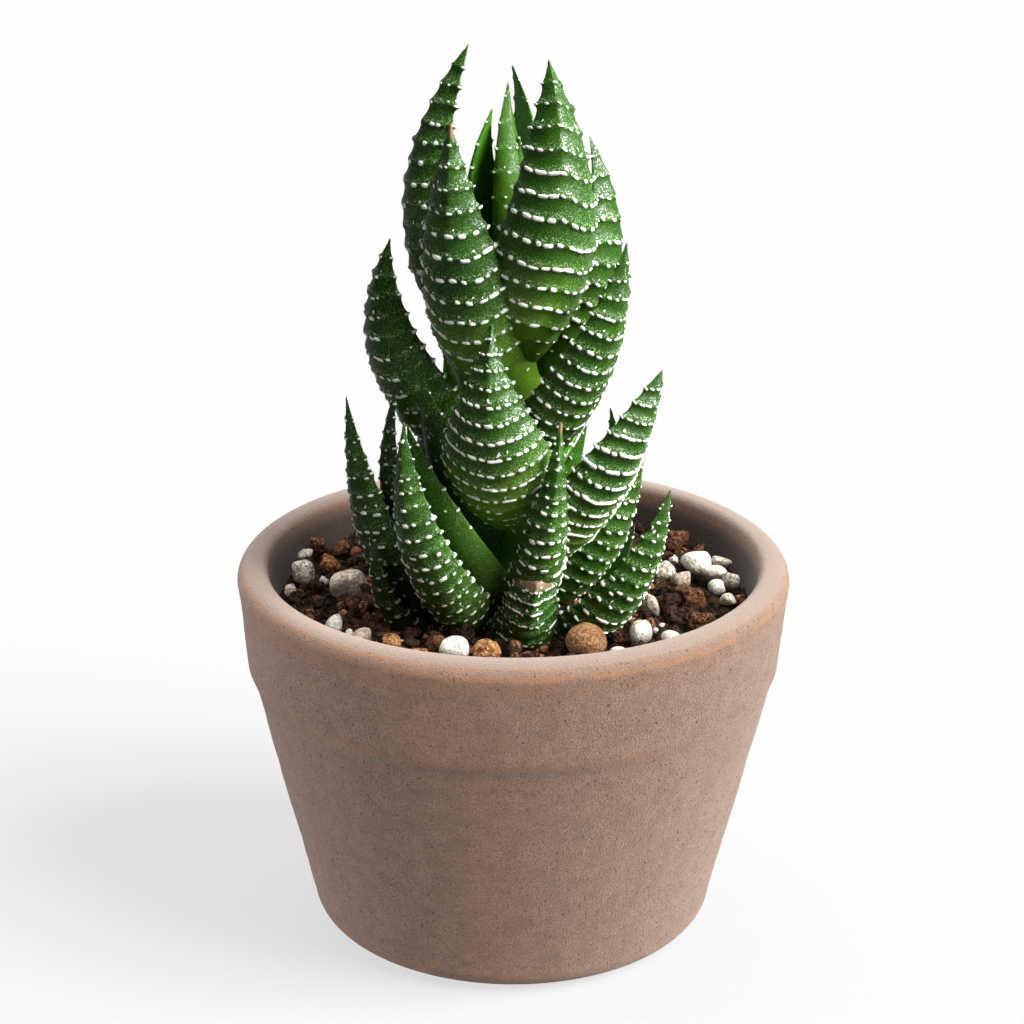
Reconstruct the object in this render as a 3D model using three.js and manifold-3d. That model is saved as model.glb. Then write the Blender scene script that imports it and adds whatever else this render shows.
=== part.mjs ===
// Potted haworthia: a tapered clay pot, gritty potting mix with loose stones, and a
// plant whose thick incurved leaves spiral up a short upright stem.
// Millimetres, +Z up. The origin is the middle of the pot's flat underside.

import * as THREE from 'three';
import { mergeVertices } from 'three/addons/utils/BufferGeometryUtils.js';
import Module from 'manifold-3d';

const wasm = await Module();
wasm.setup();

// Driving dimensions

// The rim band is widest at the top; a small step under it leads to the tapered wall.
const POT = {
  height: 59,
  rimRadius: 42.5,
  innerRimRadius: 37.8,
  collarBottom: 43,
  collarRadius: 41.2,
  stepBottom: 41.5,
  stepRadius: 40.6,
  footRadius: 31.7,
  standRadius: 27.2,
  outerLip: 2.6,
  innerLip: 1.4,
  floorTop: 5.5,
  innerFloorRadius: 27.6,
  innerCorner: 3,
  drainRadius: 5,
  segments: 40,
};

// The surface rolls by the relief, falls by the shoulder at the wall and holds crumbs.
const MIX = {
  level: 53.6,
  relief: 0.9,
  shoulder: 1.2,
  ringStep: 5.4,
  segments: 24,
  crumbs: 13,
  crumbSmall: 0.9,
  crumbLarge: 2.1,
  clearOfPlant: 21,
  holeRadius: 8.5,
};

const STEM = { x: -1, y: -4, bottom: 34, top: 112, bottomRadius: 3.4, topRadius: 1.3 };

// What all leaves share. The rings are for the room that each leaf needs.
const LEAF = {
  innerSides: 2,
  ridge: 0.19,
  ridgeLow: 0.4,
  plainTip: 0.93,
  tipRadius: 0.35,
  innerSwell: 0.16,
  rootOffset: 1.5,
  roomRings: [0.34, 0.46, 0.6, 0.75, 0.88, 0.97],
};

const CLEARANCE = 0.3;
const SOCKET_GAP = 0.45;
const CUT_TOLERANCE = 0.08;

// What a leaf has unless its row says otherwise. lean: how far the middle line bows
// sideways, low down and high up. foot: width where it leaves the stem, as a share of
// the full width. widest: share of the length where it is widest. point: how quickly it
// narrows. thick: depth of the outer face as a share of half the width. clasp: how far
// the base wraps round. plain: share of the base without bumps. pitch: from row to row.
const USUAL_LEAF = {
  lean: [0, 0],
  foot: 0.55,
  widest: 0.35,
  point: 1,
  blunt: 0,
  thick: 0.7,
  clasp: 0.5,
  plain: 0.32,
  pitch: 2.9,
  sides: 6,
};

// One leaf. root: height on the stem. tip: where it ends. facing: where the outer face
// looks, in degrees from +X. belly: how far the middle line bows outwards, low and high.
const leaf = (name, root, tip, facing, width, belly, rest = {}) => (
  { name: `leaf_${name}`, root, tip, facing, width, belly, ...USUAL_LEAF, ...rest }
);

// Innermost first.
const LEAVES = [
  leaf('heart_bud', 108, [0.6, -2, 125.4], -60, 3.2, [0, 0], { plain: 0.6 }),
  leaf('heart_left', 103, [-3.3, -3, 129.6], 140, 7, [3, 4], {
    thick: 0.6, plain: 0.4, pitch: 3.3,
  }),
  leaf('heart_right', 104, [-1, 0, 133], -35, 7.5, [0, -1], {
    lean: [0.5, -1], plain: 0.45, pitch: 3.8, sides: 4,
  }),
  leaf('heart_back', 104, [-0.5, 2, 135], 40, 7.2, [3, 4], { thick: 0.6, plain: 0.45, sides: 4 }),
  leaf('crown_right', 90, [4.7, -9, 138], -74, 15, [9, 11], { lean: [0.5, 1.5], foot: 0.35 }),
  leaf('crown_left', 92, [-6.7, -1, 138.6], -152, 11.2, [11, 8.6], {
    lean: [-3, -2.5], point: 0.85, thick: 0.8,
  }),
  leaf('crown_front', 88, [-9, -14, 130], -106, 14.6, [8, 6.5], {
    lean: [-0.8, -1.2], widest: 0.22, foot: 1.15,
  }),
  leaf('crown_side', 88, [10.7, -4, 126], -18, 13.6, [8, 8], {
    lean: [0.5, -1.5], foot: 0.7, sides: 5,
  }),
  leaf('back_1', 95, [1.8, 6, 122], 95, 10.5, [6, 5], { pitch: 4.2, sides: 4 }),
  leaf('back_2', 86, [-10, 6, 117], 140, 12.5, [6, 5], { pitch: 4.2, sides: 4 }),
  leaf('shoulder_right', 74, [16, -14, 112.8], -50, 12.5, [4, 11], {
    lean: [-4, -5], foot: 0.9, pitch: 2.3,
  }),
  leaf('shoulder_left', 76, [-18, -8, 111.7], -138, 14, [7.5, 8], {
    lean: [-3.5, -3.8], thick: 0.75, sides: 5,
  }),
  leaf('back_3', 80, [11.3, 8, 110], 50, 12.5, [5, 4], { pitch: 4.2, sides: 4 }),
  leaf('back_4', 76, [-5, 14, 103], 110, 14.5, [6, 7], { pitch: 4.2, sides: 4 }),
  leaf('middle_front', 66.5, [-3.2, -17, 102], -95, 17, [9, 11], {
    lean: [1, -1], foot: 0.6, widest: 0.36, point: 1.55, thick: 0.65, pitch: 2.1,
  }),
  leaf('middle_left', 59, [-13.6, -15, 93.2], -130, 11, [4, 4], {
    lean: [4, 2], thick: 0.6, plain: 0.45, sides: 5,
  }),
  leaf('back_5', 68, [7, 16, 95], 70, 14, [6, 8], { pitch: 4.2, sides: 4 }),
  leaf('back_6', 62, [-12, 12, 85], 150, 13, [6, 6], { pitch: 4.2, sides: 4 }),
  leaf('side_small', 64, [11, -4, 82], -20, 7, [2, 1], { lean: [0, 1], plain: 0.6 }),
  leaf('lower_right', 60, [21.6, -14, 93.9], -45, 14.8, [4.5, 7.5], {
    lean: [-3.2, -7.2], foot: 0.8, point: 0.85, pitch: 2.2, sides: 5,
  }),
  leaf('lower_left', 50, [-15.6, -15, 85.6], -140, 14.6, [3, 6], {
    lean: [6, 6], foot: 0.8, thick: 0.6, plain: 0.7, sides: 5,
  }),
  leaf('back_7', 56, [-2, 19, 82], 100, 14, [8, 9], { pitch: 4.2, sides: 4 }),
  leaf('back_8', 50, [14.8, 6, 81.2], 40, 8.5, [13, 9], { pitch: 4.2, sides: 4 }),
  leaf('back_9', 48, [-20, 10, 71], 150, 10, [9, 7], { pitch: 4.2, sides: 4 }),
  leaf('lower_side', 51, [20, -6, 81], -28, 11, [7, 4], { lean: [2, -2], thick: 0.65, sides: 5 }),
  leaf('base_slender', 50, [6.8, -19, 87.4], -78, 8.4, [14, 9], {
    lean: [-0.6, -0.6], foot: 1, thick: 0.8, widest: 0.25, pitch: 2.5, sides: 5,
  }),
  leaf('base_left', 48, [-15.8, -20, 87.7], -122, 10.6, [13, 11], {
    lean: [2.5, 1], foot: 0.7, thick: 0.8, widest: 0.3, sides: 5,
  }),
  leaf('base_inner', 50, [-17.2, -14, 91.5], -170, 8.5, [12, 6], {
    lean: [2, -2], thick: 0.8, sides: 5,
  }),
  leaf('base_right', 46, [23, -17, 76.5], -50, 12.6, [12.2, 10], {
    lean: [-2.7, -2.3], foot: 0.7, thick: 0.75, widest: 0.3, pitch: 2.5, sides: 5,
  }),
  leaf('base_outer', 44, [-24.6, -12, 88.9], -145, 12.4, [10.5, 6], {
    lean: [-2, -1], widest: 0.3, pitch: 3.6, sides: 5,
  }),
  leaf('base_stub', 46, [3.4, -21, 64.5], -85, 11.5, [8.2, 4.6], {
    blunt: 0.4, thick: 0.8, pitch: 2.2, sides: 5,
  }),
  leaf('base_little', 44, [-21.1, -18, 71], -150, 8, [13.6, 6], {
    lean: [-2.6, 2], pitch: 3.3, sides: 5,
  }),
  leaf('back_10', 47, [3, 22, 72], 80, 11, [10, 8], { pitch: 4.2, sides: 4 }),
  leaf('back_11', 46, [18.5, -2, 64.8], 20, 6, [9, 5], { lean: [2, 0], pitch: 4.2, sides: 4 }),
];

// Loose stones that stand in the mix: name, place, size along X, Y and Z, and colour.
const STONES = [
  ['pumice_left', [-25.2, 0.2, 54.8], [6.5, 6, 5.8], 0xcfc4b4],
  ['pumice_far_left', [-32.6, 4.3, 54.2], [4.4, 4, 4], 0xd9d2c4],
  ['tan_left', [-28.8, 8.2, 53.9], [3.5, 3.2, 3], 0x9a6b48],
  ['orange_left', [-27.2, 16.6, 53.9], [3.5, 3, 2.7], 0xa5673c],
  ['white_left', [-26.8, -15.8, 54], [2.8, 2.8, 3.1], 0xe8e2d8],
  ['grey_left', [-22.8, -20.6, 53.9], [3.6, 3, 2.9], 0x8d7b6a],
  ['tan_front', [-18, -21.8, 53.9], [3, 2.8, 2.8], 0xa9794f],
  ['white_front', [-8.4, -25.2, 54.3], [4.8, 3.8, 3.8], 0xf0ece4],
  ['tan_ball', [10.8, -24.2, 55.1], [6.2, 5.8, 5.6], 0xa27547],
  ['white_right', [18.9, -19.5, 54.4], [3.6, 3.4, 3.8], 0xe6ded2],
  ['pale_right', [23.4, -19.7, 53.9], [3, 2.6, 2.4], 0xe9e3da],
  ['rust_right', [27.5, -5, 54.3], [6, 5, 3.8], 0x6e4028],
  ['white_back', [28.7, 10.4, 54.2], [4.2, 3.8, 3.4], 0xe4dacb],
  ['grey_back', [26.6, 2.4, 54], [3.4, 3, 2.8], 0xb9ad9d],
  ['white_far_right', [33, 2.5, 54], [3.4, 3, 3], 0xe2dacd],
  ['white_rear', [-8, 27, 54.2], [4.6, 4, 3.8], 0xdfd8cc],
  ['tan_rear', [12, 28, 54], [4, 3.8, 3.4], 0x9c6f49],
].map(([name, at, size, colour]) => ({ name: `stone_${name}`, at, size, colour }));

// Stones longer than this are rounder.
const STONE = { fineFrom: 4, roughness: 0.16 };

const COLOURS = { pot: 0x8c7567, mix: 0x33231a, stem: 0x5d7b35, leaf: 0x2f6b2a };
const ROUGHNESS = { pot: 0.85, mix: 0.95, stem: 0.6, leaf: 0.45, stone: 0.9 };

// Small helpers

const radians = THREE.MathUtils.degToRad;
const GOLDEN_ANGLE = Math.PI * (3 - Math.sqrt(5));

// A repeatable number from 0 to 1 for a whole-number key.
const chance = (key) => {
  const wave = Math.sin(key * 127.1 + 11.7) * 43758.5453;
  return wave - Math.floor(wave);
};

const solidOf = (geometry) => {
  geometry.deleteAttribute('normal');
  geometry.deleteAttribute('uv');
  const merged = mergeVertices(geometry, 1e-4);
  const mesh = new wasm.Mesh({
    numProp: 3,
    vertProperties: new Float32Array(merged.attributes.position.array),
    triVerts: new Uint32Array(merged.index.array),
  });
  return new wasm.Manifold(mesh);
};

const largestPiece = (solid) => {
  const pieces = solid.simplify(CUT_TOLERANCE).decompose();
  return pieces.reduce((best, piece) => (piece.volume() > best.volume() ? piece : best));
};

const meshOf = (name, solid, colour, roughness) => {
  const { vertProperties, triVerts } = solid.getMesh();
  const geometry = new THREE.BufferGeometry();
  geometry.setAttribute('position', new THREE.BufferAttribute(vertProperties, 3));
  geometry.setIndex(new THREE.BufferAttribute(triVerts, 1));
  geometry.computeVertexNormals();
  const material = new THREE.MeshStandardMaterial({ color: colour, roughness, metalness: 0 });
  const mesh = new THREE.Mesh(geometry, material);
  mesh.name = name;
  return mesh;
};

const boxesMeet = (first, second) => {
  const a = first.boundingBox();
  const b = second.boundingBox();
  return [0, 1, 2].every((axis) => a.min[axis] < b.max[axis] && b.min[axis] < a.max[axis]);
};

const cutBy = (solid, cutters) => cutters
  .filter((cutter) => boxesMeet(solid, cutter))
  .reduce((left, cutter) => left.subtract(cutter), solid);

const arc = (cx, cz, radius, fromDegrees, toDegrees, steps) => {
  const points = [];
  for (let i = 0; i <= steps; i += 1) {
    const angle = radians(fromDegrees + ((toDegrees - fromDegrees) * i) / steps);
    points.push(new THREE.Vector2(cx + radius * Math.cos(angle), cz + radius * Math.sin(angle)));
  }
  return points;
};

// A lathe stands along Y; its profile is turned upright here.
const lathe = (profile, segments) => new THREE.LatheGeometry(profile, segments).rotateX(Math.PI / 2);

// Pot

function potSolid() {
  const { height, rimRadius, outerLip, innerLip, innerRimRadius, innerCorner } = POT;
  const bend = POT.footRadius - POT.standRadius;
  const profile = [
    new THREE.Vector2(POT.drainRadius, 0),
    new THREE.Vector2(POT.standRadius, 0),
    ...arc(POT.standRadius, bend, bend, -60, -8, 2),
    new THREE.Vector2(POT.stepRadius, POT.stepBottom),
    new THREE.Vector2(POT.collarRadius, POT.collarBottom),
    ...arc(rimRadius - outerLip, height - outerLip, outerLip, 0, 90, 3),
    ...arc(innerRimRadius + innerLip, height - innerLip, innerLip, 90, 180, 2),
    ...arc(POT.innerFloorRadius - innerCorner, POT.floorTop + innerCorner, innerCorner, 0, -90, 2),
    new THREE.Vector2(POT.drainRadius, POT.floorTop),
    new THREE.Vector2(POT.drainRadius, 0),
  ];
  return solidOf(lathe(profile, POT.segments));
}

// Potting mix

const innerRadiusAt = (z) => {
  const low = POT.floorTop + POT.innerCorner;
  const share = (z - low) / (POT.height - POT.innerLip - low);
  return THREE.MathUtils.lerp(POT.innerFloorRadius, POT.innerRimRadius, share);
};

const mixHeight = (x, y) => {
  const wave = Math.sin(x * 0.55 + 1.3) * Math.cos(y * 0.48 - 0.6) + Math.sin(x * 1.3 + y * 1.1);
  return MIX.level + MIX.relief * 0.5 * wave;
};

function crumbSolid(index) {
  const turn = index * GOLDEN_ANGLE;
  const reach = innerRadiusAt(MIX.level) - MIX.crumbLarge - MIX.shoulder;
  const away = MIX.clearOfPlant + (reach - MIX.clearOfPlant) * chance(index);
  const x = away * Math.cos(turn);
  const y = away * Math.sin(turn);
  const size = THREE.MathUtils.lerp(MIX.crumbSmall, MIX.crumbLarge, chance(index + 100));
  const crumb = new THREE.IcosahedronGeometry(size, 0);
  crumb.rotateX(chance(index + 200) * Math.PI);
  crumb.rotateZ(chance(index + 300) * Math.PI);
  crumb.translate(x, y, mixHeight(x, y));
  return solidOf(crumb);
}

function mixSolid(sockets) {
  const radius = innerRadiusAt(MIX.level - MIX.shoulder) - CLEARANCE;
  const floor = POT.floorTop + CLEARANCE;
  const profile = [new THREE.Vector2(0, floor)];
  profile.push(new THREE.Vector2(POT.innerFloorRadius - POT.innerCorner, floor));
  profile.push(new THREE.Vector2(POT.innerFloorRadius - CLEARANCE, POT.floorTop + POT.innerCorner));
  profile.push(new THREE.Vector2(radius, MIX.level - MIX.shoulder));
  for (let ring = radius - MIX.shoulder / 2; ring > 1; ring -= MIX.ringStep) {
    profile.push(new THREE.Vector2(ring, MIX.level));
  }
  profile.push(new THREE.Vector2(0, MIX.level));
  const geometry = lathe(profile, MIX.segments);
  const { position } = geometry.attributes;
  for (let i = 0; i < position.count; i += 1) {
    const x = position.getX(i);
    const y = position.getY(i);
    if (position.getZ(i) > MIX.level - MIX.shoulder / 2) position.setZ(i, mixHeight(x, y));
  }
  let mix = solidOf(geometry);
  for (let i = 0; i < MIX.crumbs; i += 1) mix = mix.add(crumbSolid(i));
  return largestPiece(cutBy(mix, [plantHole(), ...sockets]));
}

// The plain hole that the stem and the feet of the lowest leaves stand in.
function plantHole() {
  const profile = [
    new THREE.Vector2(0, STEM.bottom - CLEARANCE),
    new THREE.Vector2(STEM.bottomRadius + CLEARANCE, STEM.bottom - CLEARANCE),
    new THREE.Vector2(MIX.holeRadius, STEM.bottom + MIX.holeRadius),
    new THREE.Vector2(MIX.holeRadius, POT.height),
    new THREE.Vector2(0, POT.height),
  ];
  return solidOf(lathe(profile, 16).translate(STEM.x, STEM.y, 0));
}

// Loose stones

function stoneSolid(stone, key, grow = 0) {
  const large = stone.size[0] > STONE.fineFrom;
  const geometry = large ? new THREE.IcosahedronGeometry(0.5, 1) : new THREE.DodecahedronGeometry(0.5);
  const { position } = geometry.attributes;
  const point = new THREE.Vector3();
  for (let i = 0; i < position.count; i += 1) {
    point.fromBufferAttribute(position, i);
    const bump = Math.sin(point.x * 7 + key) * Math.cos(point.y * 6 - key * 2) * Math.cos(point.z * 5 + key);
    point.multiplyScalar(1 + STONE.roughness * bump);
    position.setXYZ(i, ...point.toArray());
  }
  geometry.rotateZ(key * GOLDEN_ANGLE);
  geometry.scale(...stone.size.map((side) => side + 2 * grow));
  geometry.translate(...stone.at);
  return solidOf(geometry);
}

// Stem

function stemSolid(grow = 0) {
  const profile = [
    new THREE.Vector2(0, STEM.bottom - grow),
    new THREE.Vector2(STEM.bottomRadius + grow, STEM.bottom - grow),
    new THREE.Vector2(STEM.bottomRadius + grow, MIX.level),
    new THREE.Vector2(STEM.topRadius + grow, STEM.top - STEM.topRadius),
    new THREE.Vector2(0, STEM.top + grow),
  ];
  return solidOf(lathe(profile, 12).translate(STEM.x, STEM.y, 0));
}

// Leaves

// Half the width at a share of the length, from the foot up to the pointed tip.
function halfWidth(leaf, share) {
  const { width, widest, foot, blunt, point } = leaf;
  const half = width / 2;
  if (share < widest) {
    return half * (foot + (1 - foot) * Math.sin((Math.PI / 2) * (share / widest)));
  }
  const fall = (share - widest) / (1 - widest);
  return half * (blunt + (1 - blunt) * Math.cos((Math.PI / 2) * fall) ** point);
}

function middleLine(leaf) {
  const { root, tip, facing, belly, lean } = leaf;
  const out = new THREE.Vector3(Math.cos(radians(facing)), Math.sin(radians(facing)), 0);
  const side = new THREE.Vector3(-out.y, out.x, 0);
  const start = new THREE.Vector3(STEM.x, STEM.y, root).addScaledVector(out, LEAF.rootOffset);
  const end = new THREE.Vector3(...tip);
  const bow = (share, index) => start.clone().lerp(end, share)
    .addScaledVector(out, belly[index]).addScaledVector(side, lean[index]);
  const line = new THREE.CubicBezierCurve3(start, bow(1 / 3, 0), bow(2 / 3, 1), end);
  return { line, side };
}

// Rings along the leaf: a plain base, then a crest and a valley for every row.
function leafRings(leaf, length) {
  const { plain, pitch } = leaf;
  const rows = Math.max(2, Math.round((length * (LEAF.plainTip - plain)) / pitch));
  const rings = [{ share: 0, crest: 0 }, { share: plain / 2, crest: 0 }];
  for (let row = 0; row <= rows; row += 1) {
    const share = THREE.MathUtils.lerp(plain, LEAF.plainTip, row / rows);
    const step = (LEAF.plainTip - plain) / rows;
    rings.push({ share: share - step / 2, crest: 0, row });
    rings.push({ share, crest: 1, row });
  }
  rings.push({ share: 0.975, crest: 0 });
  return rings;
}

function leafSolid(leaf) {
  return skin(leaf, leafRings(leaf, middleLine(leaf).line.getLength()), 0);
}

// The room a leaf needs: the same form without bumps, larger by the gap and the bumps.
function leafRoom(leaf, gap) {
  const bumpy = LEAF.roomRings.filter((share) => share > leaf.plain);
  const rings = [0, leaf.plain / 2, leaf.plain, ...bumpy].map((share) => ({ share, crest: 0 }));
  return skin(leaf, rings, gap + LEAF.ridge * leaf.pitch);
}

function skin(leaf, rings, grow) {
  const { line, side } = middleLine(leaf);
  const sides = leaf.sides + LEAF.innerSides;
  const geometry = new THREE.SphereGeometry(1, sides, rings.length + 1);
  const { position, uv } = geometry.attributes;
  const up = new THREE.Vector3();
  const out = new THREE.Vector3();
  for (let i = 0; i < position.count; i += 1) {
    const level = Math.round((1 - uv.getY(i)) * (rings.length + 1));
    const column = Math.round(THREE.MathUtils.clamp(1 - uv.getX(i), 0, 1) * sides) % sides;
    const atFoot = level > rings.length;
    const atTip = level === 0;
    const ring = rings[rings.length - level] ?? { share: atTip ? 1 : 0, crest: 0 };
    const point = line.getPointAt(ring.share);
    up.copy(line.getTangentAt(ring.share));
    out.crossVectors(side, up).normalize();
    if (atTip) point.addScaledVector(up, grow);
    if (atFoot) point.addScaledVector(up, -grow);
    if (!atTip && !atFoot) {
      const reach = sectionPoint(leaf, ring, column, grow);
      point.addScaledVector(side, reach.across).addScaledVector(out, reach.out);
    }
    position.setXYZ(i, ...point.toArray());
  }
  return solidOf(geometry);
}

// One point of a ring: a keeled outer face with raised bumps, and a hollow inner face.
function sectionPoint(leaf, ring, column, grow) {
  const half = Math.max(halfWidth(leaf, ring.share), LEAF.tipRadius) + grow;
  const { thick, clasp, pitch, sides } = leaf;
  const outer = column <= sides;
  const turn = outer ? (Math.PI * column) / sides : Math.PI * (1 + (column - sides) / LEAF.innerSides);
  const bump = outer && (column + ring.row) % 2 === 0 ? 1 : LEAF.ridgeLow;
  const raise = outer ? ring.crest * LEAF.ridge * pitch * bump * Math.min(1, half / 2.5) : 0;
  const depth = outer ? half * thick : half * LEAF.innerSwell + grow;
  const curl = clasp * half * (1 - ring.share) ** 2 * Math.cos(turn) ** 2;
  return {
    across: (half + raise) * Math.cos(turn),
    out: (depth + raise) * Math.sin(turn) - curl,
  };
}

// Every leaf gives way to the stem and to the leaves inside it.
function leafSolids() {
  const rooms = [stemSolid(CLEARANCE)];
  const solids = [];
  for (const one of LEAVES) {
    solids.push(largestPiece(cutBy(leafSolid(one), rooms)));
    rooms.push(leafRoom(one, CLEARANCE));
  }
  return solids;
}

// Assembly

const sockets = [
  ...LEAVES.map((one) => leafRoom(one, SOCKET_GAP)),
  ...STONES.map((stone, i) => stoneSolid(stone, i, SOCKET_GAP)),
];
const leaves = leafSolids();
const pottedHaworthia = new THREE.Group();
pottedHaworthia.add(meshOf('pot', potSolid(), COLOURS.pot, ROUGHNESS.pot));
pottedHaworthia.add(meshOf('potting_mix', mixSolid(sockets), COLOURS.mix, ROUGHNESS.mix));
pottedHaworthia.add(meshOf('stem', stemSolid(), COLOURS.stem, ROUGHNESS.stem));
LEAVES.forEach((one, i) => {
  pottedHaworthia.add(meshOf(one.name, leaves[i], COLOURS.leaf, ROUGHNESS.leaf));
});
STONES.forEach((stone, i) => {
  pottedHaworthia.add(meshOf(stone.name, stoneSolid(stone, i), stone.colour, ROUGHNESS.stone));
});

export default pottedHaworthia;
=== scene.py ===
"""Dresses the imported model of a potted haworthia.

The pot, the potting mix, the stem, every leaf and every loose stone are built as fine
meshes over their plain solids, in metres and in the same frame: +Z up, with the origin
in the middle of the pot's underside.
"""

import logging
import math
from dataclasses import dataclass, field
from enum import Enum

import bpy
import numpy as np
from mathutils import Euler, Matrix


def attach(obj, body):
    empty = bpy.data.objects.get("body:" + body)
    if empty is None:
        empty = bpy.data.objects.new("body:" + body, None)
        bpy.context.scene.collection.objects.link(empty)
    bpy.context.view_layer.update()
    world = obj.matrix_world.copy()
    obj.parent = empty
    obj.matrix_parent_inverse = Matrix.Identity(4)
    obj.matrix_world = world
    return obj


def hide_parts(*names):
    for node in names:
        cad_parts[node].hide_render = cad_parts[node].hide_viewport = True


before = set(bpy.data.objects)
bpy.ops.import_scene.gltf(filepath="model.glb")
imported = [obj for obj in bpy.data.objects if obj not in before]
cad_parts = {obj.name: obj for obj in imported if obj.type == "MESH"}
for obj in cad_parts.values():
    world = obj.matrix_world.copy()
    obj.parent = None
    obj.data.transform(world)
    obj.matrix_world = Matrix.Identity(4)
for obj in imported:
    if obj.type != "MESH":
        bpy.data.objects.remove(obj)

LOG = logging.getLogger("potted_haworthia")
MM = 0.001
BODY = "root"
Colour = tuple[float, float, float]
Marks = dict[str, np.ndarray]
HASH_STEPS = (374761393, 668265263, 1103515245)
HASH_TURN = 1274126177
HASH_MASK = 0xFFFFFFFF
HASH_TOP = 0xFFFF
LAYER_SEED_STEP = 17


# Numbers


def lattice_value(cells: np.ndarray, seed: int) -> np.ndarray:
    """Gives a repeatable value for each whole-number place.

    Args:
        cells: Whole numbers, three to a place.
        seed: Chooses one of many patterns.

    Returns:
        Values from 0 to 1, one to a place.
    """
    mixed = sum(cells[..., axis] * step for axis, step in enumerate(HASH_STEPS))
    mixed = (mixed + seed * HASH_TURN) & HASH_MASK
    mixed = ((mixed ^ (mixed >> 13)) * HASH_TURN) & HASH_MASK
    return ((mixed ^ (mixed >> 16)) & HASH_TOP) / float(HASH_TOP)


def soft_noise(points: np.ndarray, size: float, seed: int = 0) -> np.ndarray:
    """Smooth noise over space.

    Args:
        points: Places, in millimetres.
        size: Distance over which the noise changes, in millimetres.
        seed: Chooses one of many patterns.

    Returns:
        Values from -1 to 1, one to a place.
    """
    scaled = points / size
    cell = np.floor(scaled).astype(np.int64)
    part = scaled - cell
    smooth = part * part * (3.0 - 2.0 * part)
    total = np.zeros(points.shape[:-1])
    for corner in range(8):
        step = np.array([corner & 1, (corner >> 1) & 1, (corner >> 2) & 1])
        weight = np.prod(np.where(step == 1, smooth, 1.0 - smooth), axis=-1)
        total += weight * lattice_value(cell + step, seed)
    return total * 2.0 - 1.0


def layered_noise(points: np.ndarray, size: float, layers: int, seed: int = 0) -> np.ndarray:
    """Smooth noise with finer and weaker noise laid over it.

    Args:
        points: Places, in millimetres.
        size: Distance over which the coarsest layer changes, in millimetres.
        layers: How many layers, each half the size and half the height of the last.
        seed: Chooses one of many patterns.

    Returns:
        Values from about -1 to 1, one to a place.
    """
    total = np.zeros(points.shape[:-1])
    for layer in range(layers):
        total += soft_noise(points, size / 2**layer, seed + LAYER_SEED_STEP * layer) / 2**layer
    return total / (2.0 - 0.5 ** (layers - 1))


def ease(low: float, high: float, values: np.ndarray) -> np.ndarray:
    """Rises smoothly from 0 at low to 1 at high."""
    share = np.clip((values - low) / (high - low), 0.0, 1.0)
    return share * share * (3.0 - 2.0 * share)


# Meshes


def ring_faces(rings: int, columns: int) -> np.ndarray:
    """Four-sided faces between rings that close on themselves.

    Args:
        rings: Number of rings, one after another.
        columns: Number of points in each ring.

    Returns:
        Four point numbers to a face.
    """
    here = np.arange(columns)
    there = (here + 1) % columns
    first = (np.arange(rings - 1) * columns)[:, None]
    near, far = first + here, first + there
    return np.stack([near, far, far + columns, near + columns], axis=-1).reshape(-1, 4)


def fan_faces(centre: int, ring_start: int, columns: int, turned: bool) -> np.ndarray:
    """Three-sided faces from one point to a ring.

    Args:
        centre: Number of the one point.
        ring_start: Number of the ring's first point.
        columns: Number of points in the ring.
        turned: Whether the faces look the other way.

    Returns:
        Three point numbers to a face.
    """
    here = ring_start + np.arange(columns)
    there = ring_start + (np.arange(columns) + 1) % columns
    middle = np.full(columns, centre)
    order = [middle, there, here] if turned else [middle, here, there]
    return np.stack(order, axis=-1)


def mesh_piece(name: str, points: np.ndarray, faces: list[np.ndarray], marks: Marks) -> bpy.types.Object:
    """Makes one smooth object of points and faces.

    Args:
        name: The piece's name.
        points: Places in millimetres, one to a row.
        faces: Arrays of point numbers, each array with faces of one size.
        marks: Named values, one to a point, that materials read.

    Returns:
        The new object, already in the scene.
    """
    mesh = bpy.data.meshes.new(name)
    mesh.vertices.add(len(points))
    mesh.vertices.foreach_set("co", (points * MM).astype(np.float32).ravel())
    corners = np.concatenate([part.ravel() for part in faces]).astype(np.int32)
    sizes = np.concatenate([np.full(len(part), part.shape[1]) for part in faces])
    mesh.loops.add(len(corners))
    mesh.loops.foreach_set("vertex_index", corners)
    mesh.polygons.add(len(sizes))
    starts = np.concatenate([[0], np.cumsum(sizes)[:-1]]).astype(np.int32)
    mesh.polygons.foreach_set("loop_start", starts)
    mesh.polygons.foreach_set("use_smooth", np.ones(len(sizes), dtype=bool))
    mesh.update(calc_edges=True)
    for mark, values in marks.items():
        layer = mesh.attributes.new(mark, "FLOAT", "POINT")
        layer.data.foreach_set("value", values.astype(np.float32).ravel())
    piece = bpy.data.objects.new(name, mesh)
    bpy.context.collection.objects.link(piece)
    return piece


def settle(piece: bpy.types.Object, material: bpy.types.Material, slot: str, *nodes: str) -> None:
    """Gives a piece its material and its body, and hides the plain solids it stands for.

    Args:
        piece: The finished object.
        material: What it is made of.
        slot: Not used.
        nodes: The plain solids that it stands for.
    """
    piece.data.materials.clear()
    piece.data.materials.append(material)
    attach(piece, BODY)
    if nodes:
        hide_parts(*nodes)
    LOG.info("%s: %d faces", piece.name, len(piece.data.polygons))


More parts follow.
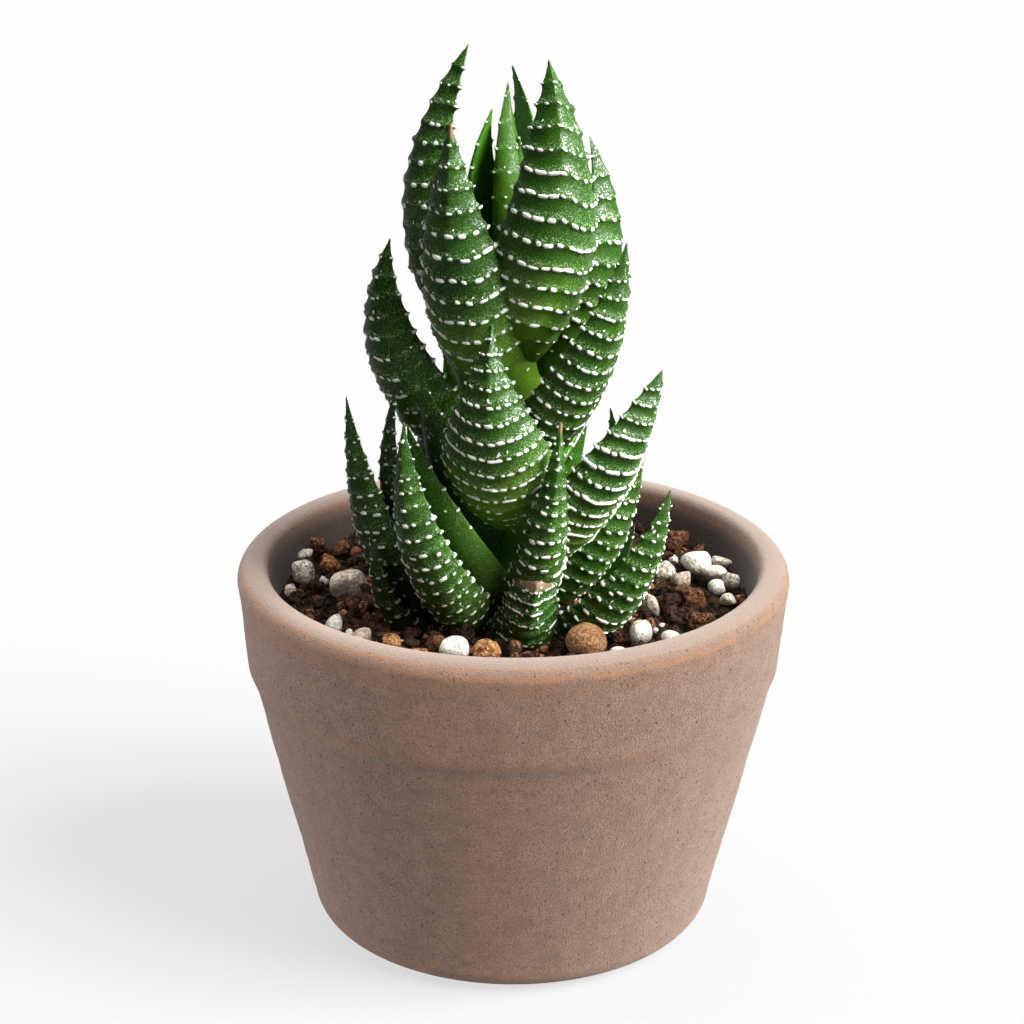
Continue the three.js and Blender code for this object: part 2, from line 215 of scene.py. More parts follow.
def unit_ball(detail: int) -> tuple[np.ndarray, np.ndarray]:
    """A ball of radius 1 made of small triangles.

    Args:
        detail: How often each face of a 20-sided solid is split.

    Returns:
        Points, and three point numbers to a face.
    """
    golden = (1 + math.sqrt(5)) / 2
    points = [(-1, golden, 0), (1, golden, 0), (-1, -golden, 0), (1, -golden, 0)]
    points += [(0, -1, golden), (0, 1, golden), (0, -1, -golden), (0, 1, -golden)]
    points += [(golden, 0, -1), (golden, 0, 1), (-golden, 0, -1), (-golden, 0, 1)]
    faces = [(0, 11, 5), (0, 5, 1), (0, 1, 7), (0, 7, 10), (0, 10, 11)]
    faces += [(1, 5, 9), (5, 11, 4), (11, 10, 2), (10, 7, 6), (7, 1, 8)]
    faces += [(3, 9, 4), (3, 4, 2), (3, 2, 6), (3, 6, 8), (3, 8, 9)]
    faces += [(4, 9, 5), (2, 4, 11), (6, 2, 10), (8, 6, 7), (9, 8, 1)]
    for _ in range(detail):
        halves: dict[tuple[int, int], int] = {}
        finer = []
        for a, b, c in faces:
            middles = []
            for start, end in ((a, b), (b, c), (c, a)):
                key = (min(start, end), max(start, end))
                if key not in halves:
                    halves[key] = len(points)
                    points.append(tuple((p + q) / 2 for p, q in zip(points[start], points[end])))
                middles.append(halves[key])
            ab, bc, ca = middles
            finer += [(a, ab, ca), (b, bc, ab), (c, ca, bc), (ab, bc, ca)]
        faces = finer
    ball = np.array(points, dtype=float)
    return ball / np.linalg.norm(ball, axis=1, keepdims=True), np.array(faces)


# Shader boards


class Board:
    """A node tree with short calls that place its nodes and wire them."""

    def __init__(self, tree: bpy.types.NodeTree) -> None:
        """Starts on an empty tree."""
        self.tree = tree
        self.tree.nodes.clear()

    def put(self, kind: str, inputs: dict | None = None, **settings: object) -> bpy.types.Node:
        """Places a node.

        Args:
            kind: The node's type, without its ShaderNode prefix.
            inputs: Values or outputs for its inputs, by name or number.
            settings: Properties of the node.

        Returns:
            The new node.
        """
        prefix = "" if kind.startswith("Node") else "ShaderNode"
        node = self.tree.nodes.new(prefix + kind)
        for name, value in settings.items():
            setattr(node, name, value)
        for key, value in (inputs or {}).items():
            self.feed(node.inputs[key], value)
        return node

    def feed(self, target: bpy.types.NodeSocket, value: object) -> None:
        """Sets an input to a value, a colour or another node's output."""
        if isinstance(value, bpy.types.NodeSocket):
            self.tree.links.new(value, target)
        elif isinstance(value, tuple) and len(value) == 3 and target.type == "RGBA":
            target.default_value = (*value, 1.0)
        else:
            target.default_value = value

    def mark(self, name: str) -> bpy.types.NodeSocket:
        """Gives the value that a mesh carries under this name."""
        return self.put("Attribute", attribute_name=name).outputs["Fac"]

    def blend(self, share: object, first: object, second: object, mode: str = "MIX") -> bpy.types.NodeSocket:
        """Mixes two colours.

        Args:
            share: How much of the second, from 0 to 1.
            first: The first colour.
            second: The second colour.
            mode: How they mix.

        Returns:
            The mixed colour.
        """
        node = self.put("Mix", data_type="RGBA", blend_type=mode)
        self.feed(node.inputs[0], share)
        self.feed(node.inputs[6], first)
        self.feed(node.inputs[7], second)
        return node.outputs[2]

    def ramp(self, value: object, low: float, high: float, start: float = 0.0,
             end: float = 1.0) -> bpy.types.NodeSocket:
        """Turns a value between low and high smoothly into one between start and end."""
        inputs = {"Value": value, "From Min": low, "From Max": high, "To Min": start, "To Max": end}
        return self.put("MapRange", inputs, interpolation_type="SMOOTHSTEP").outputs[0]

    def noise(self, place: object, scale: object, detail: float, roughness: float = 0.5) -> bpy.types.NodeSocket:
        """Gives cloudy noise round 0.5, with finer noise in it as detail rises."""
        inputs = {"Vector": place, "Scale": scale, "Detail": detail, "Roughness": roughness}
        return self.put("TexNoise", inputs).outputs["Fac"]

    def stretch(self, place: object, *scale: float) -> bpy.types.NodeSocket:
        """Multiplies a place by a number along each axis."""
        return self.put("VectorMath", {0: place, 1: scale}, operation="MULTIPLY").outputs[0]

    def object_place(self) -> bpy.types.NodeSocket:
        """Gives the place on the piece, in metres."""
        return self.put("TexCoord").outputs["Object"]

    def sum(self, operation: str, first: object, second: object = 0.0) -> bpy.types.NodeSocket:
        """Does arithmetic on two values."""
        return self.put("Math", {0: first, 1: second}, operation=operation).outputs[0]


class SharedEffects:
    """Node groups that more than one finish uses, each built once."""

    pit_bend = 0.0006
    pit_edge = 0.08
    stain_reach = (0.70, 0.42)
    stain_edge = 0.14
    vein_patch = 0.45
    low_cell = 0.4

    def __init__(self) -> None:
        """Builds the groups."""
        self.grain = self._grain()
        self.pits = self._pits()
        self.stain = self._stain()
        self.veins = self._veins()
        self.cells = self._cells()

    @staticmethod
    def _open(name: str, output: str, **inputs: float) -> tuple[Board, list[bpy.types.NodeSocket]]:
        """Starts a group.

        Args:
            name: The group's name.
            output: The name of its one output.
            inputs: The name and first value of each input.

        Returns:
            The group's board, and its inputs followed by the place on the piece.
        """
        group = bpy.data.node_groups.new(name, "ShaderNodeTree")
        for label, value in inputs.items():
            socket = group.interface.new_socket(name=label, in_out="INPUT", socket_type="NodeSocketFloat")
            socket.default_value = value
        group.interface.new_socket(name=output, in_out="OUTPUT", socket_type="NodeSocketFloat")
        board = Board(group)
        given = list(board.put("NodeGroupInput").outputs)[: len(inputs)]
        return board, [*given, board.object_place()]

    @staticmethod
    def _shut(board: Board, value: bpy.types.NodeSocket) -> bpy.types.NodeTree:
        """Wires a group's output and gives the group."""
        board.put("NodeGroupOutput", {0: value})
        return board.tree

    def _grain(self) -> bpy.types.NodeTree:
        """Fine grain: a value round 0.5 that changes over each grain."""
        board, (scale, place) = self._open("fine grain", "Value", Scale=3000.0)
        return self._shut(board, board.noise(place, scale, 3.0, 0.65))

    def _pits(self) -> bpy.types.NodeTree:
        """Small scattered pits: 1 inside a pit and 0 outside."""
        board, (scale, size, place) = self._open("small pits", "Mask", Scale=900.0, Size=0.2)
        bend = board.put("TexNoise", {"Vector": place, "Scale": scale, "Detail": 1.0}).outputs["Color"]
        bent = board.put("VectorMath", {0: bend, "Scale": self.pit_bend}, operation="SCALE").outputs[0]
        moved = board.put("VectorMath", {0: place, 1: bent}, operation="ADD").outputs[0]
        cells = board.put("TexVoronoi", {"Vector": moved, "Scale": scale, "Randomness": 1.0})
        choice = board.put("SeparateColor", {0: cells.outputs["Color"]}).outputs[0]
        inside = board.sum("SUBTRACT", board.sum("MULTIPLY", choice, size), cells.outputs["Distance"])
        return self._shut(board, board.ramp(inside, 0.0, self.pit_edge))

    def _stain(self) -> bpy.types.NodeTree:
        """Large soft cloudy patches: 1 inside a patch and 0 outside."""
        board, (scale, cover, place) = self._open("soft stain", "Mask", Scale=60.0, Cover=0.5)
        start, fall = self.stain_reach
        level = board.sum("SUBTRACT", start, board.sum("MULTIPLY", cover, fall))
        above = board.sum("SUBTRACT", board.noise(place, scale, 4.0, 0.6), level)
        return self._shut(board, board.ramp(above, 0.0, self.stain_edge))

    def _veins(self) -> bpy.types.NodeTree:
        """Short wandering lines: 1 on a line and 0 beside it."""
        inputs = {"Scale": 900.0, "Width": 0.03, "Cover": 0.5}
        board, (scale, width, cover, place) = self._open("wandering lines", "Mask", **inputs)
        away = board.sum("ABSOLUTE", board.sum("SUBTRACT", board.noise(place, scale, 1.5), 0.5))
        line = board.ramp(board.sum("DIVIDE", away, width), 0.5, 1.0, 1.0, 0.0)
        patch = board.noise(place, board.sum("MULTIPLY", scale, self.vein_patch), 0.0)
        above = board.sum("SUBTRACT", patch, board.sum("SUBTRACT", 1.0, cover))
        return self._shut(board, board.sum("MULTIPLY", line, board.ramp(above, -0.02, 0.04)))

    def _cells(self) -> bpy.types.NodeTree:
        """Tiny domed cells: high in the middle of each and low between them."""
        board, (scale, place) = self._open("tiny cells", "Value", Scale=4200.0)
        cells = board.put("TexVoronoi", {"Vector": place, "Scale": scale, "Randomness": 1.0})
        choice = board.put("SeparateColor", {0: cells.outputs["Color"]}).outputs[0]
        dome = board.sum("SUBTRACT", 1.0, cells.outputs["Distance"])
        share = board.sum("ADD", self.low_cell, board.sum("MULTIPLY", choice, 1.0 - self.low_cell))
        return self._shut(board, board.sum("MULTIPLY", dome, share))


@dataclass
class Finish:
    """A material that is being wired."""

    name: str
    effects: SharedEffects
    material: bpy.types.Material = field(init=False)
    board: Board = field(init=False)

    def __post_init__(self) -> None:
        """Starts the material on an empty tree."""
        self.material = bpy.data.materials.new(self.name)
        self.material.use_nodes = True
        self.board = Board(self.material.node_tree)

    def group(self, tree: bpy.types.NodeTree, **values: float) -> bpy.types.NodeSocket:
        """Places a shared group with its own values and gives its output."""
        node = self.board.put("Group", node_tree=tree)
        for name, value in values.items():
            self.board.feed(node.inputs[name.capitalize()], value)
        return node.outputs[0]

    def tint(self, colour: object, mask: object, amount: float, shade: Colour) -> bpy.types.NodeSocket:
        """Lays a shade over a colour where a mask is, as strongly as amount says."""
        return self.board.blend(self.board.sum("MULTIPLY", mask, amount), colour, shade)

    def close(self, colour: object, roughness: object, height: object, depth: float,
              **fixed: object) -> bpy.types.Material:
        """Wires the surface shader.

        Args:
            colour: Base colour.
            roughness: Roughness.
            height: Height of the fine relief.
            depth: How deep that relief is, in metres.
            fixed: Values that are the same all over, by the shader's input name.

        Returns:
            The finished material.
        """
        bump = self.board.put("Bump", {"Height": height, "Distance": depth, "Strength": 1.0})
        inputs = {"Base Color": colour, "Roughness": roughness, "Normal": bump.outputs[0]}
        inputs.update({name.replace("_", " "): value for name, value in fixed.items()})
        shader = self.board.put("BsdfPrincipled", inputs)
        self.board.put("OutputMaterial", {"Surface": shader.outputs[0]})
        return self.material


# Pot


@dataclass(frozen=True)
class ClaySkin:
    """Matt taupe clay: fine grit, tiny pits, pale and rust specks, and rust-tinted edges.

    Levels and radii are in metres from the middle of the pot's underside.
    """

    dull: Colour = (0.252, 0.158, 0.108)
    light: Colour = (0.330, 0.213, 0.152)
    grit: Colour = (0.155, 0.088, 0.058)
    streak: Colour = (0.29, 0.165, 0.110)
    # the rim top's smooth greyer band, painted lighter as a highlight where the top light falls
    lip: Colour = (0.285, 0.228, 0.188)
    shoulder: Colour = (0.330, 0.240, 0.188)
    curl: Colour = (0.30, 0.165, 0.10)
    ruddy: Colour = (0.30, 0.125, 0.055)
    pale: Colour = (0.46, 0.36, 0.28)
    pit: Colour = (0.060, 0.032, 0.020)
    rust: Colour = (0.38, 0.180, 0.085)
    # damp stain of the inner wall, deepened by painted shade inside the pot
    damp_and_shade: Colour = (0.036, 0.020, 0.012)
    # painted shade on the right of the inner wall, which faces away from the key light
    painted_right_shade: Colour = (0.022, 0.010, 0.004)
    waver: float = 0.0007
    lip_levels: tuple[float, float] = (0.05820, 0.05845)
    shoulder_levels: tuple[float, float] = (0.0568, 0.0582)
    damp_and_shade_levels: tuple[float, float] = (0.0550, 0.0588)
    mix_levels: tuple[float, float] = (0.047, 0.049)
    wall_radii: tuple[float, float] = (0.0376, 0.0382)
    streak_stretch: tuple[float, float, float] = (22.0, 22.0, 620.0)
    relief: float = 0.00013

    def finish(self, effects: SharedEffects) -> bpy.types.Material:
        """Wires the clay.

        Args:
            effects: The shared node groups.

        Returns:
            The pot's material.
        """
        finish = Finish("gritty taupe clay", effects)
        board = finish.board
        place = board.object_place()
        across, _, height = board.put("SeparateXYZ", {0: place}).outputs
        grain = finish.group(effects.grain, scale=3600.0)
        blotch = finish.group(effects.grain, scale=420.0)
        streaks = board.noise(board.stretch(place, *self.streak_stretch), 1.0, 3.0)
        waver = board.sum("SUBTRACT", finish.group(effects.grain, scale=700.0), 0.5)
        level = board.sum("ADD", height, board.sum("MULTIPLY", waver, self.waver))
        lip = board.ramp(level, *self.lip_levels)
        pits = finish.group(effects.pits, scale=1150.0, size=0.29)
        pits = board.sum("MULTIPLY", pits, board.ramp(lip, 0.0, 1.0, 1.0, 0.15))
        colour = board.blend(board.ramp(blotch, 0.32, 0.68), self.dull, self.light)
        colour = board.blend(board.ramp(grain, 0.40, 0.55, 0.2, 1.0), self.grit, colour)
        colour = board.blend(board.ramp(streaks, 0.40, 0.72, 0.0, 0.35), colour, self.streak)
        # rim top: its smooth greyer band, partly a painted highlight
        colour = finish.tint(colour, lip, 0.75, self.lip)
        colour = board.blend(board.ramp(level, *self.shoulder_levels, 0.0, 0.3), colour, self.shoulder)
        colour = self.rusty(finish, colour, level, across)
        specks = (
            (finish.group(effects.veins, scale=1500.0, width=0.05, cover=0.62), 0.22, self.curl),
            (finish.group(effects.pits, scale=900.0, size=0.27), 0.55, self.ruddy),
            (finish.group(effects.pits, scale=1200.0, size=0.20), 0.45, self.pale),
            (pits, 0.6, self.pit),
        )
        for mask, amount, shade in specks:
            colour = finish.tint(colour, mask, amount, shade)
        colour = self.inside(board, colour, place, across, height)
        sand = board.sum("MULTIPLY", finish.group(effects.cells, scale=4200.0), 0.8)
        relief = board.sum("ADD", board.sum("MULTIPLY", grain, 0.8), sand)
        relief = board.sum("SUBTRACT", board.sum("ADD", relief, board.sum("MULTIPLY", streaks, 0.3)), pits)
        rough = board.ramp(lip, 0.0, 1.0, 0.75, 0.52)
        return finish.close(colour, rough, relief, self.relief, Specular_IOR_Level=0.35, Diffuse_Roughness=1.0,
                            Sheen_Weight=0.20, Sheen_Roughness=0.5)

    def inside(self, board: Board, colour: bpy.types.NodeSocket, place: bpy.types.NodeSocket,
               across: bpy.types.NodeSocket, height: bpy.types.NodeSocket) -> bpy.types.NodeSocket:
        """Darkens the inner wall below the rim: partly the clay's damp stain and partly painted shade inside the
        pot. It is darkest on the right, where the painted shade stands for the wall facing away from the key light.

        Args:
            board: The material's board.
            colour: The clay's colour so far.
            place: Place on the pot, in metres.
            across: Distance to the right of the pot's middle, in metres.
            height: Height above the pot's underside, in metres.

        Returns:
            The colour, darker inside.
        """
        flat = board.stretch(place, 1.0, 1.0, 0.0)
        away = board.put("VectorMath", {0: flat}, operation="LENGTH").outputs["Value"]
        within = board.ramp(away, *self.wall_radii, 1.0, 0.0)
        low = board.ramp(height, *self.damp_and_shade_levels, 0.96, 0.0)
        low = board.sum("MULTIPLY", low, board.ramp(height, *self.mix_levels))
        # painted shade: darkest on the right of the inner wall
        damp_and_shade = board.blend(board.ramp(across, 0.0, 0.032), self.damp_and_shade, self.painted_right_shade)
        return board.blend(board.sum("MULTIPLY", within, low), colour, damp_and_shade)

    def rusty(self, finish: Finish, colour: bpy.types.NodeSocket, height: bpy.types.NodeSocket,
              across: bpy.types.NodeSocket) -> bpy.types.NodeSocket:
        """Lays the broken rust lines on the rim's shoulder and the tint on the foot.

        Args:
            finish: The material that is being wired.
            colour: The clay's colour so far.
            height: Height above the pot's underside, in metres.
            across: Distance to the right of the pot's middle, in metres.

        Returns:
            The tinted colour.
        """
        board = finish.board
        patch = finish.group(finish.effects.stain, scale=330.0, cover=0.80)
        to_left = board.ramp(across, -0.020, 0.030, 1.0, 0.3)
        to_right = board.ramp(across, -0.030, 0.020, 0.3, 1.0)
        lines = (
            (58.22, 0.30, 1.0, to_left),
            (57.0, 0.7, 1.0, to_right),
            (55.2, 1.7, 0.3, 1.0),
            (42.6, 1.0, 0.4, 1.0),
            (1.2, 3.6, 0.5, 1.0),
        )
        for level, reach, amount, side in lines:
            away = board.sum("ABSOLUTE", board.sum("SUBTRACT", height, level * MM))
            near = board.sum("MULTIPLY", board.ramp(away, 0.0, reach * MM, amount, 0.0), side)
            colour = board.blend(board.sum("MULTIPLY", near, patch), colour, self.rust)
        return colour


@dataclass
class Pot:
    """A tapered clay pot with a rim band, made as one turned wall."""

    height: float = 59.0
    rim_radius: float = 42.5
    inner_rim_radius: float = 37.8
    collar_bottom: float = 43.0
    collar_radius: float = 41.2
    step_bottom: float = 41.5
    step_radius: float = 40.6
    foot_radius: float = 31.7
    stand_radius: float = 27.2
    outer_lip: float = 2.6
    inner_lip: float = 1.4
    floor_top: float = 5.5
    inner_floor_radius: float = 27.6
    inner_corner: float = 3.0
    drain_radius: float = 5.0
    segments: int = 208
    spacing: float = 1.3
    least_gap: float = 0.12
    wobble: float = 0.14
    wobble_size: float = 26.0
    ring_depth: float = 0.05
    ring_size: float = 1.7
    ring_waver: float = 20.0
    seed: int = 4

    def profile(self) -> np.ndarray:
        """The wall's outline as closely spaced points, radius and height."""
        bend = self.foot_radius - self.stand_radius
        lip, inner = self.outer_lip, self.inner_lip
        corner = self.inner_corner
        step = [(self.step_radius - 0.15, self.step_bottom - 0.5), (self.step_radius + 0.1, self.step_bottom)]
        outline = np.concatenate([
            np.array([(self.drain_radius, 0.6), (self.drain_radius + 0.6, 0.0), (self.stand_radius, 0.0)]),
            self.arc(self.stand_radius, bend, bend, -85, -8),
            np.array([*step, (self.collar_radius, self.collar_bottom)]),
            self.arc(self.rim_radius - lip, self.height - lip, lip, 0, 90),
            self.arc(self.inner_rim_radius + inner, self.height - inner, inner, 90, 180),
            self.arc(self.inner_floor_radius - corner, self.floor_top + corner, corner, 0, -90),
            np.array([(self.drain_radius, self.floor_top), (self.drain_radius, 0.6)]),
        ])
        run = np.concatenate([[0.0], np.cumsum(np.linalg.norm(np.diff(outline, axis=0), axis=1))])
        places = np.unique(np.concatenate([run, np.arange(0.0, run[-1], self.spacing)]))
        places = places[np.concatenate([[True], np.diff(places) > self.least_gap])]
        return np.stack([np.interp(places, run, outline[:, axis]) for axis in (0, 1)], axis=1)

    @staticmethod
    def arc(radius: float, z: float, bend: float, start: float, end: float) -> np.ndarray:
        """Points round a bend, from one angle in degrees to another."""
        angles = np.radians(np.linspace(start, end, max(4, int(bend * 4))))
        return np.stack([radius + bend * np.cos(angles), z + bend * np.sin(angles)], axis=1)

    def build(self) -> bpy.types.Object:
        """Turns the outline into the wall, with the slight unevenness of thrown clay."""
        outline = self.profile()
        turns = np.linspace(0, 2 * math.pi, self.segments, endpoint=False)
        radius = np.repeat(outline[:, 0][:, None], self.segments, axis=1)
        z = np.repeat(outline[:, 1][:, None], self.segments, axis=1)
        points = np.stack([radius * np.cos(turns), radius * np.sin(turns), z], axis=-1)
        stretched = points * np.array([1.0, 1.0, 3.5])
        uneven = soft_noise(stretched, self.wobble_size, self.seed) * self.wobble
        level = z + 0.4 * soft_noise(points, self.ring_waver, 9)
        rings = soft_noise(np.stack([0 * z, 0 * z, level], axis=-1), self.ring_size, 3) * self.ring_depth
        wall = ease(1.0, 4.0, z) * (1 - 0.6 * ease(self.height - 3, self.height, z))
        radius = radius + (uneven + rings) * wall
        points = np.stack([radius * np.cos(turns), radius * np.sin(turns), z], axis=-1)
        faces = ring_faces(len(outline), self.segments)
        return mesh_piece("clay_pot", points.reshape(-1, 3), [faces], {})

    def dress(self, effects: SharedEffects) -> None:
        """Builds the pot and settles it."""
        settle(self.build(), ClaySkin().finish(effects), "pot", "pot")


# Potting mix


@dataclass(frozen=True)
class EarthSkin:
    """Dark earth with dark brown lumps and rust patches; the near-black in the low places between lumps is partly
    the earth's colour and partly painted shade.
    """

    # near-black of the low places between lumps: partly the earth's colour, partly painted shade
    gap: Colour = (0.0035, 0.0020, 0.0014)
    lump: Colour = (0.065, 0.032, 0.017)
    rust: Colour = (0.10, 0.040, 0.015)
    relief: float = 0.0011

    def finish(self, effects: SharedEffects) -> bpy.types.Material:
        """Wires the earth.

        Args:
            effects: The shared node groups.

        Returns:
            The fill's material.
        """
        finish = Finish("crumbly earth", effects)
        grain = finish.group(effects.grain, scale=1100.0)
        patches = finish.group(effects.stain, scale=240.0, cover=0.35)
        # darker where the relief is low: partly painted shade between the lumps
        colour = finish.board.blend(finish.board.ramp(grain, 0.42, 0.68), self.gap, self.lump)
        colour = finish.tint(colour, patches, 0.5, self.rust)
        return finish.close(colour, 0.9, grain, self.relief, Specular_IOR_Level=0.1)


@dataclass
class PottingMix:
    """The dark crumbly fill, as one rough lumpy surface."""

    level: float = 52.7
    floor: float = 5.8
    reach: float = 37.0
    rings: int = 92
    segments: int = 200
    swell: float = 0.7
    swell_size: float = 9.0
    relief: float = 1.5
    relief_size: float = 2.2
    edge_drop: float = 0.9
    edge_width: float = 5.0
    seed: int = 21

    def height(self, x: np.ndarray, y: np.ndarray) -> np.ndarray:
        """Height of the rough surface at a place, in millimetres."""
        flat = np.stack([x, y, np.zeros_like(x)], axis=-1)
        broad = layered_noise(flat, self.swell_size, 2, self.seed) * self.swell
        lumps = layered_noise(flat, self.relief_size, 3, self.seed + 5) * self.relief
        edge = ease(self.reach - self.edge_width, self.reach, np.hypot(x, y))
        return self.level + broad + lumps - self.edge_drop * edge

    def build(self) -> bpy.types.Object:
        """Makes the surface, its skirt down the pot's wall and its flat underside."""
        radii = np.linspace(self.reach / self.rings, self.reach, self.rings)
        turns = np.linspace(0, 2 * math.pi, self.segments, endpoint=False)
        x = radii[:, None] * np.cos(turns)
        y = radii[:, None] * np.sin(turns)
        top = np.stack([x, y, self.height(x, y)], axis=-1)
        skirt = [(36.4, 50.0), (27.2, 8.7), (24.4, self.floor)]
        lower = np.array([[(r * math.cos(t), r * math.sin(t), z) for t in turns] for r, z in skirt])
        rings = np.concatenate([top, lower])
        middle = np.array([[0.0, 0.0, float(self.height(np.zeros(1), np.zeros(1))[0])], [0.0, 0.0, self.floor]])
        points = np.concatenate([rings.reshape(-1, 3), middle])
        last = (len(rings) - 1) * self.segments
        faces = [
            ring_faces(len(rings), self.segments),
            fan_faces(len(points) - 2, 0, self.segments, False),
            fan_faces(len(points) - 1, last, self.segments, True),
        ]
        return mesh_piece("potting_mix_fill", points, [part[:, ::-1] for part in faces], {})

    def dress(self, effects: SharedEffects) -> None:
        """Builds the fill and settles it."""
        settle(self.build(), EarthSkin().finish(effects), "potting_mix", "potting_mix")


# Stones and crumbs


class Grit(Enum):
    """The kinds of grain in the mix."""

    WHITE = "white pumice"
    GREY = "grey pumice"
    CREAM = "stained pumice"
    TAN = "tan clay grain"
    AMBER = "lumpy amber grain"
    RUST = "rust lava"
    BROWN = "red brown lava"
    PEAT = "dark peat crumb"


@dataclass(frozen=True)
class GritLook:
    """How one kind of grain looks: its colours, dirt, pits, stain lines, relief and shape.

    facets is how many flat sides it is cut with, sharp how hard their edges are, and
    lumpy how far its skin rises and falls.
    """

    dark: Colour
    light: Colour
    dirt: float
    soil: Colour
    pit_scale: float
    pit_size: float
    net: float
    relief: float
    rough: float
    facets: int
    sharp: float
    lumpy: float

    def finish(self, kind: Grit, effects: SharedEffects) -> bpy.types.Material:
        """Wires the material of this kind of grain.

        Args:
            kind: Which grain it is.
            effects: The shared node groups.

        Returns:
            The grain's material.
        """
        finish = Finish(kind.value, effects)
        board = finish.board
        grain = finish.group(effects.grain, scale=1900.0)
        pits = finish.group(effects.pits, scale=self.pit_scale, size=self.pit_size)
        cloud = finish.group(effects.stain, scale=480.0, cover=0.5)
        net = finish.group(effects.veins, scale=620.0, width=0.05, cover=0.62)
        colour = board.blend(board.ramp(grain, 0.40, 0.62), self.dark, self.light)
        shade = board.ramp(board.mark("shade"), 0.0, 1.0, 0.0, 0.55)
        colour = board.blend(shade, colour, self.dark)
        low = board.ramp(board.mark("height"), -0.35, 0.35, 1.0, 0.0)
        dirt = board.sum("MULTIPLY", board.sum("MAXIMUM", low, board.sum("MULTIPLY", cloud, 0.5)), self.dirt)
        colour = board.blend(dirt, colour, self.soil)
        colour = finish.tint(colour, net, self.net, NET)
        colour = finish.tint(colour, pits, 0.75, tuple(part * 0.3 for part in self.dark))
        relief = board.sum("SUBTRACT", grain, pits)
        return finish.close(colour, self.rough, relief, self.relief, Specular_IOR_Level=0.15)


EARTH = (0.125, 0.060, 0.028)
RUDDY = (0.26, 0.10, 0.038)
NET = (0.22, 0.12, 0.06)

# Dark, light, dirt, soil, pit scale, pit size, net, relief, rough, facets, sharp and lumpy
GRIT_LOOKS = {
    Grit.WHITE: GritLook((0.62, 0.57, 0.48), (0.90, 0.87, 0.80), 0.55, EARTH, 1700.0, 0.26, 0.3,
                         0.0004, 0.85, 16, 3.6, 0.06),
    Grit.GREY: GritLook((0.30, 0.24, 0.18), (0.60, 0.53, 0.44), 0.8, EARTH, 1300.0, 0.34, 0.3,
                        0.0004, 0.9, 14, 6.0, 0.10),
    Grit.CREAM: GritLook((0.52, 0.44, 0.34), (0.92, 0.85, 0.74), 0.5, EARTH, 1500.0, 0.36, 0.55,
                         0.0005, 0.9, 10, 6.0, 0.12),
    Grit.TAN: GritLook((0.23, 0.105, 0.045), (0.62, 0.36, 0.18), 0.4, EARTH, 1500.0, 0.28, 0.1,
                       0.0012, 0.9, 0, 4.0, 0.09),
    Grit.AMBER: GritLook((0.24, 0.090, 0.028), (0.60, 0.32, 0.125), 0.45, EARTH, 900.0, 0.42, 0.2,
                         0.0007, 0.9, 0, 4.0, 0.26),
    Grit.RUST: GritLook((0.15, 0.055, 0.020), (0.48, 0.21, 0.085), 0.5, EARTH, 1100.0, 0.5, 0.0,
                        0.0008, 0.85, 8, 8.0, 0.20),
    Grit.BROWN: GritLook((0.035, 0.014, 0.007), (0.30, 0.130, 0.056), 0.4, RUDDY, 1000.0, 0.5, 0.0,
                         0.0010, 0.8, 9, 8.0, 0.26),
    Grit.PEAT: GritLook((0.0050, 0.0026, 0.0018), (0.100, 0.050, 0.026), 0.2, RUDDY, 1000.0, 0.45, 0.0,
                        0.0012, 0.8, 8, 8.0, 0.36),
}


@dataclass(frozen=True)
class Stone:
    """One loose grain: where it lies, its three sizes, its kind and its solid if it has one."""

    name: str
    at: tuple[float, float, float]
    size: tuple[float, float, float]
    kind: Grit
    solid: bool = False

    def shape(self, detail: int, seed: int) -> tuple[np.ndarray, np.ndarray, Marks]:
        """Makes the grain's broken and lumpy surface.

        Args:
            detail: How finely the ball it starts from is split.
            seed: Chooses its flat sides, its lumps and its tilt.

        Returns:
            Points in millimetres, faces, and the marks that the material reads.
        """
        ball, faces = unit_ball(detail)
        look = GRIT_LOOKS[self.kind]
        draw = np.random.default_rng(9000 + seed)
        reach = np.ones(len(ball))
        if look.facets:
            planes = np.concatenate([draw.normal(size=(look.facets, 3)), np.eye(3), -np.eye(3)])
            planes[look.facets:] += draw.normal(0, 0.25, (6, 3))
            planes /= np.linalg.norm(planes, axis=1, keepdims=True)
            away = draw.uniform(0.72, 1.0, len(planes))
            push = (np.clip(ball @ planes.T, 0, None) / away) ** look.sharp
            reach = push.sum(axis=1) ** (-1 / look.sharp)
        shift = draw.uniform(0, 60, 3)
        lumps = layered_noise(ball + shift, 0.55, 2, seed + 3) * look.lumpy
        points = ball * (reach * (1 + lumps))[:, None]
        points = points / np.abs(points).max(axis=0) * np.array(self.size) / 2
        tilt = draw.uniform(-0.2, 0.2, 2)
        spin = 0.0 if self.name else draw.uniform(0, 6.28)
        turn = np.array(Euler((tilt[0], tilt[1], spin)).to_matrix())
        marks = {"height": ball[:, 2], "shade": np.full(len(ball), draw.uniform() ** 1.5)}
        return points @ turn.T + np.array(self.at), faces, marks


